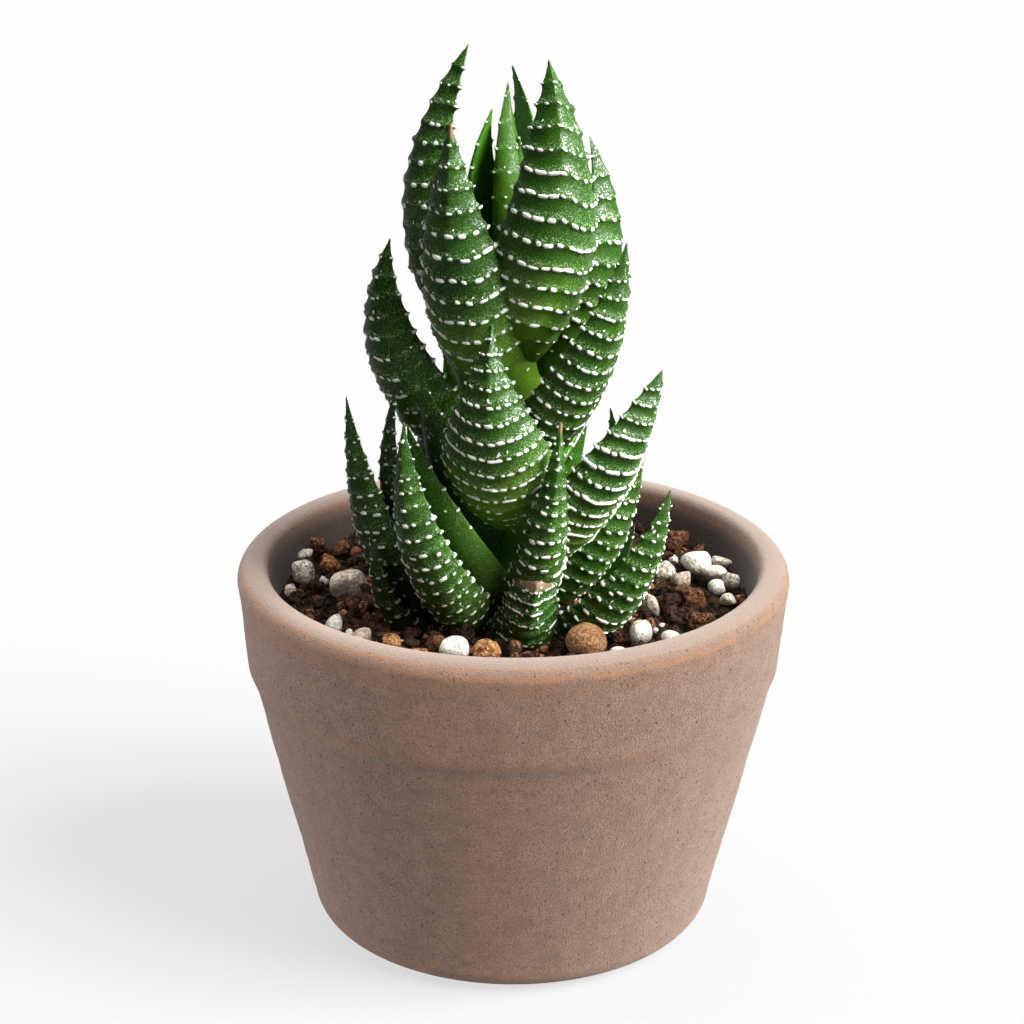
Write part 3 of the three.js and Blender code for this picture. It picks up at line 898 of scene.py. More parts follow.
class Grains:
    """All the loose stones and crumbs on the mix."""

    reach = 36.8
    large_stone = 4.2
    large_grain = 2.7
    clear_of_stone = 0.95
    clear_of_grain = 0.4

    def __init__(self, mix: PottingMix, effects: SharedEffects) -> None:
        """Keeps the mix they lie on and makes a material for each kind."""
        self.mix = mix
        self.looks = {kind: look.finish(kind, effects) for kind, look in GRIT_LOOKS.items()}

    def dress(self) -> None:
        """Builds the placed stones one by one, then the scattered grains kind by kind."""
        for number, stone in enumerate(STONES):
            points, faces, marks = stone.shape(4 if stone.size[0] > self.large_stone else 3, number + 1)
            label = f"stone_{stone.name}"
            piece = mesh_piece(label, points, [faces], marks)
            if stone.solid:
                settle(piece, self.looks[stone.kind], label, label)
            else:
                settle(piece, self.looks[stone.kind], "potting_mix")
        for order, (kind, count, small, large) in enumerate(SCATTER):
            self.scatter(kind, count, small, large, order)

    def scatter(self, kind: Grit, count: int, small: float, large: float, order: int) -> None:
        """Lays many small grains of one kind on the mix, clear of the placed stones.

        Args:
            kind: Which grain.
            count: How many.
            small: Size of the smallest, in millimetres.
            large: Size of the largest, in millimetres.
            order: Number of this scatter, which seeds it.
        """
        draw = np.random.default_rng(700 + order)
        taken = [(stone.at[0], stone.at[1], max(stone.size) / 2) for stone in STONES]
        parts, face_parts = [], []
        marks: dict[str, list[np.ndarray]] = {"height": [], "shade": []}
        total = 0
        for number in range(count):
            away = self.reach * math.sqrt(draw.uniform(0.02, 1.0))
            turn = draw.uniform(0, 2 * math.pi)
            size = small + (large - small) * draw.uniform() ** 2
            x, y = (away - size / 2) * math.cos(turn), (away - size / 2) * math.sin(turn)
            clear = size * self.clear_of_grain
            if any(math.hypot(x - a, y - b) < r * self.clear_of_stone + clear for a, b, r in taken):
                continue
            ground = float(self.mix.height(np.array([x]), np.array([y]))[0])
            sides = tuple(size * draw.uniform(0.7, 1.15) for _ in range(3))
            grain = Stone("", (x, y, ground + size * draw.uniform(0.0, 0.4)), sides, kind)
            points, faces, own = grain.shape(2 if size > self.large_grain else 1, 50 + order * 977 + number)
            parts.append(points)
            face_parts.append(faces + total)
            for name, values in own.items():
                marks[name].append(values)
            total += len(points)
        name = f"grains_{kind.name.lower()}_{order}"
        joined = {mark: np.concatenate(values) for mark, values in marks.items()}
        piece = mesh_piece(name, np.concatenate(parts), [np.concatenate(face_parts)], joined)
        settle(piece, self.looks[kind], "potting_mix")


# Kind, how many, smallest size and largest size
SCATTER = [
    (Grit.PEAT, 900, 0.9, 3.8),
    (Grit.BROWN, 150, 0.8, 3.4),
    (Grit.RUST, 210, 0.5, 2.2),
    (Grit.TAN, 80, 0.5, 2.0),
    (Grit.WHITE, 90, 0.4, 1.7),
    (Grit.GREY, 50, 0.6, 2.4),
]

# Name, place, size, kind, and whether it stands for a solid
STONES = [
    Stone("pumice_left", (-25.2, -1.0, 54.6), (6.4, 6.0, 5.6), Grit.CREAM, True),
    Stone("pumice_far_left", (-32.6, 4.3, 54.3), (4.4, 4.0, 4.2), Grit.CREAM, True),
    Stone("tan_left", (-28.8, 8.2, 53.9), (3.5, 3.2, 3.0), Grit.RUST, True),
    Stone("orange_left", (-27.2, 16.6, 53.9), (3.5, 3.0, 2.7), Grit.BROWN, True),
    Stone("white_left", (-26.8, -15.8, 54.0), (2.8, 2.8, 3.1), Grit.WHITE, True),
    Stone("grey_left", (-22.8, -20.6, 53.9), (3.6, 3.0, 2.9), Grit.GREY, True),
    Stone("tan_front", (-18.0, -21.8, 53.9), (3.0, 2.8, 2.8), Grit.AMBER, True),
    Stone("white_front", (-8.4, -25.2, 54.3), (4.8, 3.8, 3.8), Grit.WHITE, True),
    Stone("tan_ball", (10.8, -24.2, 55.1), (6.2, 5.8, 5.6), Grit.TAN, True),
    Stone("white_right", (18.9, -19.5, 54.4), (3.6, 3.4, 3.8), Grit.WHITE, True),
    Stone("pale_right", (23.4, -19.7, 53.9), (3.0, 2.6, 2.4), Grit.WHITE, True),
    Stone("rust_right", (27.3, -4.9, 54.3), (6.6, 5.0, 4.0), Grit.BROWN, True),
    Stone("white_back", (28.7, 10.4, 54.2), (4.2, 3.8, 3.4), Grit.WHITE, True),
    Stone("grey_back", (26.0, 2.0, 54.2), (3.3, 3.0, 3.0), Grit.GREY, True),
    Stone("white_far_right", (34.0, 1.7, 54.0), (3.6, 3.2, 3.2), Grit.CREAM, True),
    Stone("white_rear", (-8.0, 27.0, 54.2), (4.6, 4.0, 3.8), Grit.WHITE, True),
    Stone("tan_rear", (12.0, 28.0, 54.0), (4.0, 3.8, 3.4), Grit.TAN, True),
    Stone("grey_upper_left", (-33.2, 12.6, 54.2), (3.5, 3.0, 2.9), Grit.CREAM),
    Stone("small_far_left", (-34.4, -2.3, 53.8), (2.5, 2.4, 2.4), Grit.CREAM),
    Stone("crumb_left", (-29.4, -8.3, 53.8), (2.9, 2.8, 3.4), Grit.PEAT),
    Stone("orange_front", (-13.8, -25.6, 53.6), (2.9, 2.4, 2.0), Grit.RUST),
    Stone("brown_front", (-4.0, -25.6, 54.0), (4.6, 4.0, 3.8), Grit.AMBER),
    Stone("sliver_front", (2.6, -29.6, 53.4), (2.4, 1.9, 1.4), Grit.WHITE),
    Stone("sliver_right", (15.5, -24.8, 53.9), (2.8, 1.6, 1.4), Grit.WHITE),
    Stone("rust_far_left", (-32.0, 18.0, 53.8), (4.0, 3.2, 2.2), Grit.BROWN),
    Stone("cream_block", (29.2, 5.9, 55.2), (6.0, 4.4, 4.4), Grit.WHITE),
    Stone("cream_right", (31.4, 3.4, 55.0), (4.6, 3.0, 3.6), Grit.WHITE),
    Stone("cream_low", (31.2, -1.0, 54.3), (3.2, 2.6, 2.4), Grit.WHITE),
    Stone("cream_wedge", (24.0, 4.9, 54.5), (3.3, 2.6, 2.9), Grit.CREAM),
    Stone("round_back", (25.6, 10.4, 54.2), (1.7, 1.6, 1.6), Grit.WHITE),
    Stone("half_white", (20.9, -8.2, 54.3), (3.2, 3.0, 3.4), Grit.CREAM),
    Stone("beige_back", (33.0, 9.4, 54.0), (3.4, 2.8, 2.5), Grit.CREAM),
    Stone("brown_right", (28.0, -13.2, 53.9), (4.7, 3.6, 2.8), Grit.BROWN),
    Stone("brown_beside", (23.7, -11.9, 54.1), (2.2, 2.4, 3.5), Grit.PEAT),
    Stone("ash_right", (32.8, -5.5, 54.1), (2.8, 2.2, 2.0), Grit.CREAM),
    Stone("brown_far_right", (35.0, -4.6, 53.9), (1.8, 1.7, 1.7), Grit.RUST),
    Stone("crumb_by_ball", (15.3, -19.9, 54.0), (3.2, 2.6, 2.2), Grit.PEAT),
    Stone("speck_right", (22.2, -16.8, 54.6), (0.9, 0.8, 0.8), Grit.WHITE),
    Stone("dry_sliver", (16.6, 8.9, 54.2), (1.9, 1.6, 3.4), Grit.TAN),
    Stone("red_rear", (27.5, 20.0, 53.8), (2.4, 2.6, 3.2), Grit.BROWN),
    Stone("red_rear_two", (29.7, 15.4, 53.8), (2.2, 2.2, 2.2), Grit.BROWN),
]


# Stem


@dataclass(frozen=True)
class StemSkin:
    """Pale green skin, mottled."""

    dull: Colour = (0.10, 0.15, 0.03)
    light: Colour = (0.22, 0.25, 0.07)
    relief: float = 0.0002

    def finish(self, effects: SharedEffects) -> bpy.types.Material:
        """Wires the skin.

        Args:
            effects: The shared node groups.

        Returns:
            The stem's material.
        """
        finish = Finish("pale stem skin", effects)
        grain = finish.group(effects.grain, scale=700.0)
        return finish.close(finish.board.blend(grain, self.dull, self.light), 0.6, grain, self.relief)


@dataclass
class Stem:
    """The short stem that the leaves leave from, ringed where old leaves sat."""

    x: float = -1.0
    y: float = -4.0
    bottom: float = 34.2
    top: float = 111.6
    bottom_radius: float = 3.3
    top_radius: float = 1.3
    ring_depth: float = 0.18
    ring_turns: float = 0.9
    segments: int = 40
    rings: int = 150

    def build(self) -> bpy.types.Object:
        """Makes the ringed rod."""
        heights = np.linspace(self.bottom, self.top, self.rings)
        turns = np.linspace(0, 2 * math.pi, self.segments, endpoint=False)
        share = (heights - self.bottom) / (self.top - self.bottom)
        radius = self.bottom_radius + (self.top_radius - self.bottom_radius) * share**1.5
        radius = radius - self.ring_depth * np.abs(np.sin(heights * self.ring_turns))
        points = np.stack([
            self.x + radius[:, None] * np.cos(turns),
            self.y + radius[:, None] * np.sin(turns),
            np.repeat(heights[:, None], self.segments, axis=1),
        ], axis=-1).reshape(-1, 3)
        ends = np.array([[self.x, self.y, self.bottom], [self.x, self.y, self.top]])
        last = (self.rings - 1) * self.segments
        faces = [
            ring_faces(self.rings, self.segments),
            fan_faces(len(points), 0, self.segments, True),
            fan_faces(len(points) + 1, last, self.segments, False),
        ]
        return mesh_piece("ringed_stem", np.concatenate([points, ends]), faces, {})

    def dress(self, effects: SharedEffects) -> None:
        """Builds the stem and settles it."""
        settle(self.build(), StemSkin().finish(effects), "stem", "stem")


# Leaves


class Tier(Enum):
    """How finely a leaf is meshed, in millimetres: on a row, between rows, and across."""

    FRONT = (0.105, 0.50, 0.27)
    SMALL = (0.14, 0.52, 0.30)
    BACK = (0.24, 0.70, 0.50)


@dataclass(frozen=True)
class RowLook:
    """How the white rows of a leaf look.

    gap, tall and long are the distance between dots, half their height and half the
    length of their straight part. merge and kept are the shares of dots that run into
    the next one and that are there at all. ridge is how far the skin swells along a
    row, stagger and scatter are how far dots stand off it, rise is their height, and
    the last field how strong the silver above the row is: the skin's silvery speckle,
    with a painted highlight where each row's upper slope faces the light.
    """

    gap: float
    tall: float
    long: float
    merge: float = 0.12
    kept: float = 1.0
    ridge: float = 0.14
    stagger: float = 0.0
    scatter: float = 0.07
    rise: float = 0.30
    frost: float = 1.0


class Rows(Enum):
    """The kinds of white rows."""

    ROUND = RowLook(1.80, 0.30, 0.46, merge=0.10, ridge=0.38, rise=0.26)
    WIDE = RowLook(1.85, 0.30, 0.46, merge=0.08, ridge=0.14, rise=0.24)
    TOOTHED = RowLook(1.9, 0.34, 0.3, merge=0.1, kept=0.6, ridge=0.40)
    FINE = RowLook(1.4, 0.24, 0.42, merge=0.16, ridge=0.34, rise=0.22)
    CRUSTED = RowLook(1.35, 0.29, 0.40, merge=0.5, ridge=0.48, rise=0.26)
    SCALES = RowLook(1.7, 0.25, 0.40, merge=0.05, ridge=0.20, stagger=0.3, scatter=0.14, rise=0.26)
    SPARSE = RowLook(2.1, 0.22, 0.06, merge=0.0, kept=0.45, ridge=0.03, rise=0.16, frost=0.7)
    SMOOTH = RowLook(1.9, 0.20, 0.4, merge=0.3, kept=0.22, ridge=0.10, rise=0.10, frost=0.5)
    LINES = RowLook(0.95, 0.17, 0.34, merge=0.45, kept=0.85, ridge=0.22, scatter=0.1, rise=0.16)


@dataclass(frozen=True)
class Leaf:
    """One thick pointed leaf with a keeled outer face and rows of raised white dots.

    root is its height on the stem and tip the place where it ends. facing says where
    the outer face looks, in degrees from +X. belly and lean say how far its middle line
    bows outwards and sideways, low down and high up. foot is its width at the root and
    widest the share of its length where it is widest, while point and blunt shape its
    taper. thick is how deep its outer face is, and clasp how far its margins reach back
    round the stem. plain is the share of its length below the first row, and pitch the
    distance between rows. tone chooses its green, fresh is how pale its foot is, and
    the right-side highlight how much silver is painted on its own right side, a painted
    highlight where the light from the right falls.
    sag is how far its rows hang in the middle, tilt how far they fall to the right,
    bare the stretch of its width that has no dots, tooth the height of its marginal
    teeth, and dry the length of its withered tip.
    """

    name: str
    root: float
    tip: tuple[float, float, float]
    facing: float
    width: float
    belly: tuple[float, float]
    lean: tuple[float, float] = (0.0, 0.0)
    foot: float = 0.55
    widest: float = 0.35
    point: float = 1.0
    blunt: float = 0.0
    thick: float = 0.7
    clasp: float = 0.5
    plain: float = 0.32
    pitch: float = 2.9
    rows: Rows = Rows.ROUND
    tone: float = 0.5
    fresh: float = 0.15
    dry: float = 0.3
    tooth: float = 0.2
    sag: float = 1.0
    tilt: float = 0.0
    bare: tuple[float, float] = (2.0, 3.0)
    # painted highlight: silver on the leaf's own right side, where the light from the right falls
    bloom: float = 0.35
    tier: Tier = Tier.FRONT

    inner_swell = 0.16
    root_offset = 1.5
    plain_tip = 0.93
    tip_radius = 0.35
    tip_round = 0.025
    row_half = 0.42
    row_above = 0.95
    dot_reach = 1.25
    dot_rough = (0.40, 0.34)
    tooth_reach = 0.55
    swell = (4.0, 0.13)
    waver = (2.6, 8.0, 0.11)

    def half_width(self, share: np.ndarray) -> np.ndarray:
        """Half the width at shares of the length, down to a point at the tip."""
        low = self.foot + (1 - self.foot) * np.sin(math.pi / 2 * np.clip(share / self.widest, 0, 1))
        fall = np.clip((share - self.widest) / (1 - self.widest), 0, 1)
        high = self.blunt + (1 - self.blunt) * np.cos(math.pi / 2 * fall) ** self.point
        half = self.width / 2 * np.where(share < self.widest, low, high)
        end = np.sqrt(np.clip((1 - share) / self.tip_round, 0, 1))
        return np.maximum(half, self.tip_radius) * end

    def middle_line(self, count: int = 400) -> tuple[np.ndarray, np.ndarray, np.ndarray, float]:
        """The bowed line that the leaf is built round.

        Args:
            count: How many points it is measured with.

        Returns:
            Places and directions at even shares of the length, the sideways direction,
            and the length.
        """
        facing = math.radians(self.facing)
        out = np.array([math.cos(facing), math.sin(facing), 0.0])
        side = np.array([-out[1], out[0], 0.0])
        start = np.array([Stem.x, Stem.y, self.root]) + out * self.root_offset
        end = np.array(self.tip)
        low = start + (end - start) / 3 + out * self.belly[0] + side * self.lean[0]
        high = start + (end - start) * 2 / 3 + out * self.belly[1] + side * self.lean[1]
        t = np.linspace(0, 1, count)[:, None]
        line = (1 - t) ** 3 * start + 3 * (1 - t) ** 2 * t * low + 3 * (1 - t) * t**2 * high + t**3 * end
        run = np.concatenate([[0.0], np.cumsum(np.linalg.norm(np.diff(line, axis=0), axis=1))])
        even = np.linspace(0, run[-1], count)
        line = np.stack([np.interp(even, run, line[:, axis]) for axis in range(3)], axis=1)
        direction = np.gradient(line, axis=0)
        direction /= np.linalg.norm(direction, axis=1, keepdims=True)
        return line, direction, side, float(run[-1])

    def row_step(self, length: float) -> tuple[int, float]:
        """How many rows the leaf has, and the share of its length between two."""
        count = max(2, round(length * (self.plain_tip - self.plain) / self.pitch))
        return count, (self.plain_tip - self.plain) / count

    def shares(self, length: float) -> np.ndarray:
        """Where the rings go: close together on each row and wide apart between rows."""
        close, wide, _ = self.tier.value
        step = self.row_step(length)[1]
        first = self.plain - 1.2 * step
        places = list(np.linspace(0.0, first, max(4, int(length * first / (wide * 3))), endpoint=False))
        at = first
        while at < 0.998:
            places.append(at)
            row = (at - self.plain) / step
            away = abs(row - round(row)) * step * length
            at += min(max(away - self.row_half, close), wide) / length
        return np.array(places)

    def turns(self) -> np.ndarray:
        """Where the columns go round the section: 0 and pi are the two margins."""
        outer = max(20, int(self.width * 1.36 / self.tier.value[2]))
        inner = max(6, outer // 7)
        right = -math.pi / 2 * (1 - np.linspace(0, 1, inner, endpoint=False))
        middle = np.linspace(0, math.pi, outer, endpoint=False)
        left = math.pi + math.pi / 2 * np.linspace(0, 1, inner, endpoint=False)
        return np.concatenate([right, middle, left])

    def sagging(self, share: np.ndarray, turn: np.ndarray, length: float, phase: float) -> np.ndarray:
        """Lets the rings hang in the middle and waver, so that they follow the rows.

        Args:
            share: Shares of the length, one to a ring.
            turn: Angles round the section, one to a column.
            length: The leaf's length.
            phase: Shifts the wavering, so that no two leaves waver alike.

        Returns:
            The share of the length at each ring and column.
        """
        broad = self.half_width(share)[:, None] / (self.width / 2)
        sideways = np.cos(turn)[None, :] * broad * self.width / 2
        broad_size, long_size, height = self.waver
        lengthwise = (share * length)[:, None] / long_size + 0 * sideways
        place = np.stack([sideways / broad_size, lengthwise, 0 * sideways + phase], -1)
        wave = soft_noise(place, 1.0, 5) * height * self.pitch
        drop = self.sag * np.clip(np.sin(turn), 0, 1)[None, :] ** 2 * broad
        drop = drop + self.tilt * ease(-0.15, 1.0, np.cos(turn))[None, :] * broad
        fade = ease(0.0, max(self.plain, 0.2), share) * (1 - ease(0.80, 1.0, share))
        return share[:, None] + (wave - drop) / length * fade[:, None]

    def surface(self, share: np.ndarray, turn: np.ndarray) -> np.ndarray:
        """The leaf's skin before any bumps.

        Args:
            share: Shares of the length, one to a ring and column.
            turn: Angles round the section, one to a column.

        Returns:
            Points, ring by ring.
        """
        line, direction, side, _ = self.middle_line()
        even = np.linspace(0, 1, len(line))
        centre = np.stack([np.interp(share, even, line[:, axis]) for axis in range(3)], axis=-1)
        up = np.stack([np.interp(share, even, direction[:, axis]) for axis in range(3)], axis=-1)
        out = np.cross(side, up)
        out /= np.linalg.norm(out, axis=-1, keepdims=True)
        half = self.half_width(share)
        across, lift = np.cos(turn)[None, :], np.sin(turn)[None, :]
        keel = 0.8 * ease(0.5, 0.95, share)
        roof = 1 - np.abs(across) ** 1.25
        outer = half * self.thick * ((1 - keel) * lift + keel * roof)
        inner = half * self.inner_swell * lift
        depth = np.where(lift >= 0, outer, inner)
        depth = depth - self.clasp * half * (1 - share) ** 2 * across**2
        return centre + side * (half * across)[..., None] + out * depth[..., None]

    def bumps(self, points: np.ndarray, share: np.ndarray, turn: np.ndarray, length: float,
              draw: np.random.Generator) -> tuple[np.ndarray, Marks]:
        """Works out how far the skin rises in rows, dots and marginal teeth.

        Args:
            points: The skin, ring by ring.
            share: Shares of the length along the rows, one to a ring.
            turn: Angles round the section, one to a column.
            length: The leaf's length.
            draw: The leaf's own seeded draws.

        Returns:
            The rise in millimetres, and the marks that the material reads.
        """
        look = self.rows.value
        count, step = self.row_step(length)
        gaps = np.linalg.norm(np.diff(points, axis=1), axis=2)
        across = np.concatenate([np.zeros((len(share), 1)), np.cumsum(gaps, axis=1)], axis=1)
        right, left = int(np.searchsorted(turn, 0.0)), int(np.searchsorted(turn, math.pi))
        across -= across[:, right][:, None]
        width = across[:, left][:, None]
        row = (share - self.plain) / step
        part = ((row - np.round(row)) * step * length)[:, None]
        phase = draw.uniform(0, 50)
        along = np.repeat((share * length)[:, None], len(turn), axis=1)
        flat = np.stack([across, along, 0 * across + phase], axis=-1)
        half = self.half_width(share)[:, None]
        grown = (ease(-1.0, 1.2, row) * (1 - ease(count + 0.2, count + 0.9, row)))[:, None]
        strength = grown * np.clip(half / 2.2, 0, 1)
        face = ease(-0.35, 0.1, np.where(turn > math.pi / 2, math.pi - turn, turn))[None, :]
        broken = 0.72 + 0.28 * soft_noise(flat / np.array([1.6, 0.8, 1.0]), 1.0, 31)
        slope = np.where(part > 0, self.row_above, self.row_half)
        rise = look.ridge * np.exp(-((part / slope) ** 2)) * strength * face * broken
        edge = np.minimum(np.abs(across), np.abs(width - across))
        rise += self.tooth * np.exp(-((part / self.row_half) ** 2) - (edge / self.tooth_reach) ** 2) * strength
        rough = soft_noise(flat, self.dot_rough[0], 12) * self.dot_rough[1]
        nearest, height = self.raised_dots(draw, (row, count, step * length), across, width, rough)
        uneven = layered_noise(points + phase, self.swell[0], 2, 8) * self.swell[1] * np.clip(half / 3, 0, 1)
        # painted highlight: silver in a band just above each row, where the row's upper slope faces the light
        highlight_band = ease(0.0, 0.25, part) * (1 - ease(0.35, min(1.7, 0.45 * step * length + 0.4), part))
        lengthwise = 0 * across + share[:, None]
        tip_away = (1 - lengthwise) * length
        marks = {
            "dots": np.clip(nearest, -1, 1),
            "frost": look.frost * highlight_band * strength * face,
            # painted highlight on the leaf's own right side, where the light from the right falls
            "bloom": self.bloom * ease(-0.1, 0.85, np.cos(turn))[None, :] * face * ease(0.05, 0.3, lengthwise),
            "across": across,
            "along": along,
            "inner": 1 - face + 0 * across,
            "tone": np.full_like(across, self.tone),
            "fresh": self.fresh * (1 - ease(self.plain * 0.75, self.plain + 0.30, lengthwise)),
            "dry": 1 - ease(self.dry * 0.6, self.dry * 1.5, tip_away),
        }
        return rise + height + uneven, marks

    def raised_dots(self, draw: np.random.Generator, rows: tuple[np.ndarray, int, float], across: np.ndarray,
                    width: np.ndarray, rough: np.ndarray) -> tuple[np.ndarray, np.ndarray]:
        """Lays the dots of every row on the skin.

        Args:
            draw: The leaf's own seeded draws.
            rows: The number of the row that each ring is at, how many rows there are, and
                the distance between two of them.
            across: Distance from the right margin, at each ring and column.
            width: Distance from margin to margin, at each ring.
            rough: How ragged the dots' edges are, at each ring and column.

        Returns:
            How far inside the nearest dot each place is, and how high it rises there.
        """
        row, count, gap = rows
        nearest = np.full_like(across, -1.0)
        height = np.zeros_like(across)
        for number in range(-1, count + 1):
            near = np.nonzero(np.abs(row - number) * gap < self.dot_reach)[0]
            if len(near) == 0:
                continue
            band = slice(near[0], near[-1] + 1)
            wide = float(width[(near[0] + near[-1]) // 2, 0])
            for u, v, long, tall, lift in self.row_of_dots(draw, number, count, wide):
                beside = np.maximum(np.abs(across[band] - u) - long, 0) / tall
                above = ((row[band] - number)[:, None] * gap - v) / tall
                inside = 1 - beside**2 - above**2
                nearest[band] = np.maximum(nearest[band], inside + rough[band])
                dome = np.sqrt(np.clip(inside + 0.4 * rough[band], 0, 1)) * lift
                height[band] = np.maximum(height[band], dome)
        return nearest, height

    def row_of_dots(self, draw: np.random.Generator, number: int, count: int,
                    width: float) -> list[tuple[float, ...]]:
        """Chooses the dots of one row: where each is, how long, how tall and how high.

        Args:
            draw: The leaf's own seeded draws.
            number: The row's number, counted from the foot.
            count: How many rows the leaf has.
            width: Distance from margin to margin over the outer face, in millimetres.

        Returns:
            Place across, place along, half length, half height and rise of each dot,
            in millimetres.
        """
        look = self.rows.value
        share = np.array((number + 0.5) / count)
        small = 1 - 0.6 * float(ease(0.6, 1.0, share))
        faint = float(ease(-0.14, 0.2, share))
        weight = small * (0.55 + 0.45 * faint)
        gap = look.gap * (0.5 + 0.5 * weight)
        places = 2 * max(1, round(width / gap / 2))
        spots, place = [], 0
        while place <= places:
            margin = place in (0, places)
            joined = 0
            while not margin and joined < 2 and place + joined + 1 < places and draw.uniform() < look.merge * faint:
                joined += 1
            u = (place + joined / 2) * width / places + (0.0 if margin else draw.normal(0, 0.1) * gap)
            here = self.bare[0] <= u / max(width, 0.1) <= self.bare[1]
            kept = margin or (not here and draw.uniform() < look.kept * (0.35 + 0.65 * faint))
            for bead in range(joined + 1 if kept else 0):
                tall = max(0.17, look.tall * weight * draw.uniform(0.8, 1.15))
                long = look.long * weight * draw.uniform(0.1, 1.0) + (0.1 * gap if joined else 0.0)
                v = draw.normal(0, look.scatter) + look.stagger * ((place + number) % 2 - 0.5)
                lift = look.rise * (0.45 + 0.55 * weight) * (1.1 if margin else 1.0)
                spots.append((u + (bead - joined / 2) * gap, v, long, tall, lift))
            if draw.uniform() < 0.26 * faint:
                beside, above = u + draw.normal(0, 0.6), draw.uniform(0.5, 1.1)
                spots.append((beside, above, 0.0, draw.uniform(0.15, 0.21), 0.12))
            place += joined + 1
        return spots

    def build(self) -> bpy.types.Object:
        """Makes the leaf's mesh."""
        draw = np.random.default_rng(sum(ord(letter) * (place + 3) for place, letter in enumerate(self.name)))
        length = self.middle_line()[3]
        share, turn = self.shares(length), self.turns()
        actual = self.sagging(share, turn, length, draw.uniform(0, 50))
        points = self.surface(actual, turn)
        rise, marks = self.bumps(points, share, turn, length, draw)
        along = np.gradient(points, axis=0)
        sideways = np.roll(points, -1, axis=1) - np.roll(points, 1, axis=1)
        normal = np.cross(along, sideways)
        normal /= np.linalg.norm(normal, axis=2, keepdims=True) + 1e-9
        raised = points + normal * rise[..., None]
        tip = self.middle_line()[0][-1][None, :]
        foot = raised[0].mean(axis=0)[None, :]
        every = np.concatenate([raised.reshape(-1, 3), tip, foot])
        columns = len(turn)
        last = (len(share) - 1) * columns
        faces = [
            ring_faces(len(share), columns),
            fan_faces(len(every) - 2, last, columns, False),
            fan_faces(len(every) - 1, 0, columns, True),
        ]
        flat = {}
        for name, values in marks.items():
            flat[name] = np.concatenate([values.ravel(), [values[-1].mean(), values[0].mean()]])
        return mesh_piece(f"leaf_{self.name}_skin", every, [part[:, ::-1] for part in faces], flat)


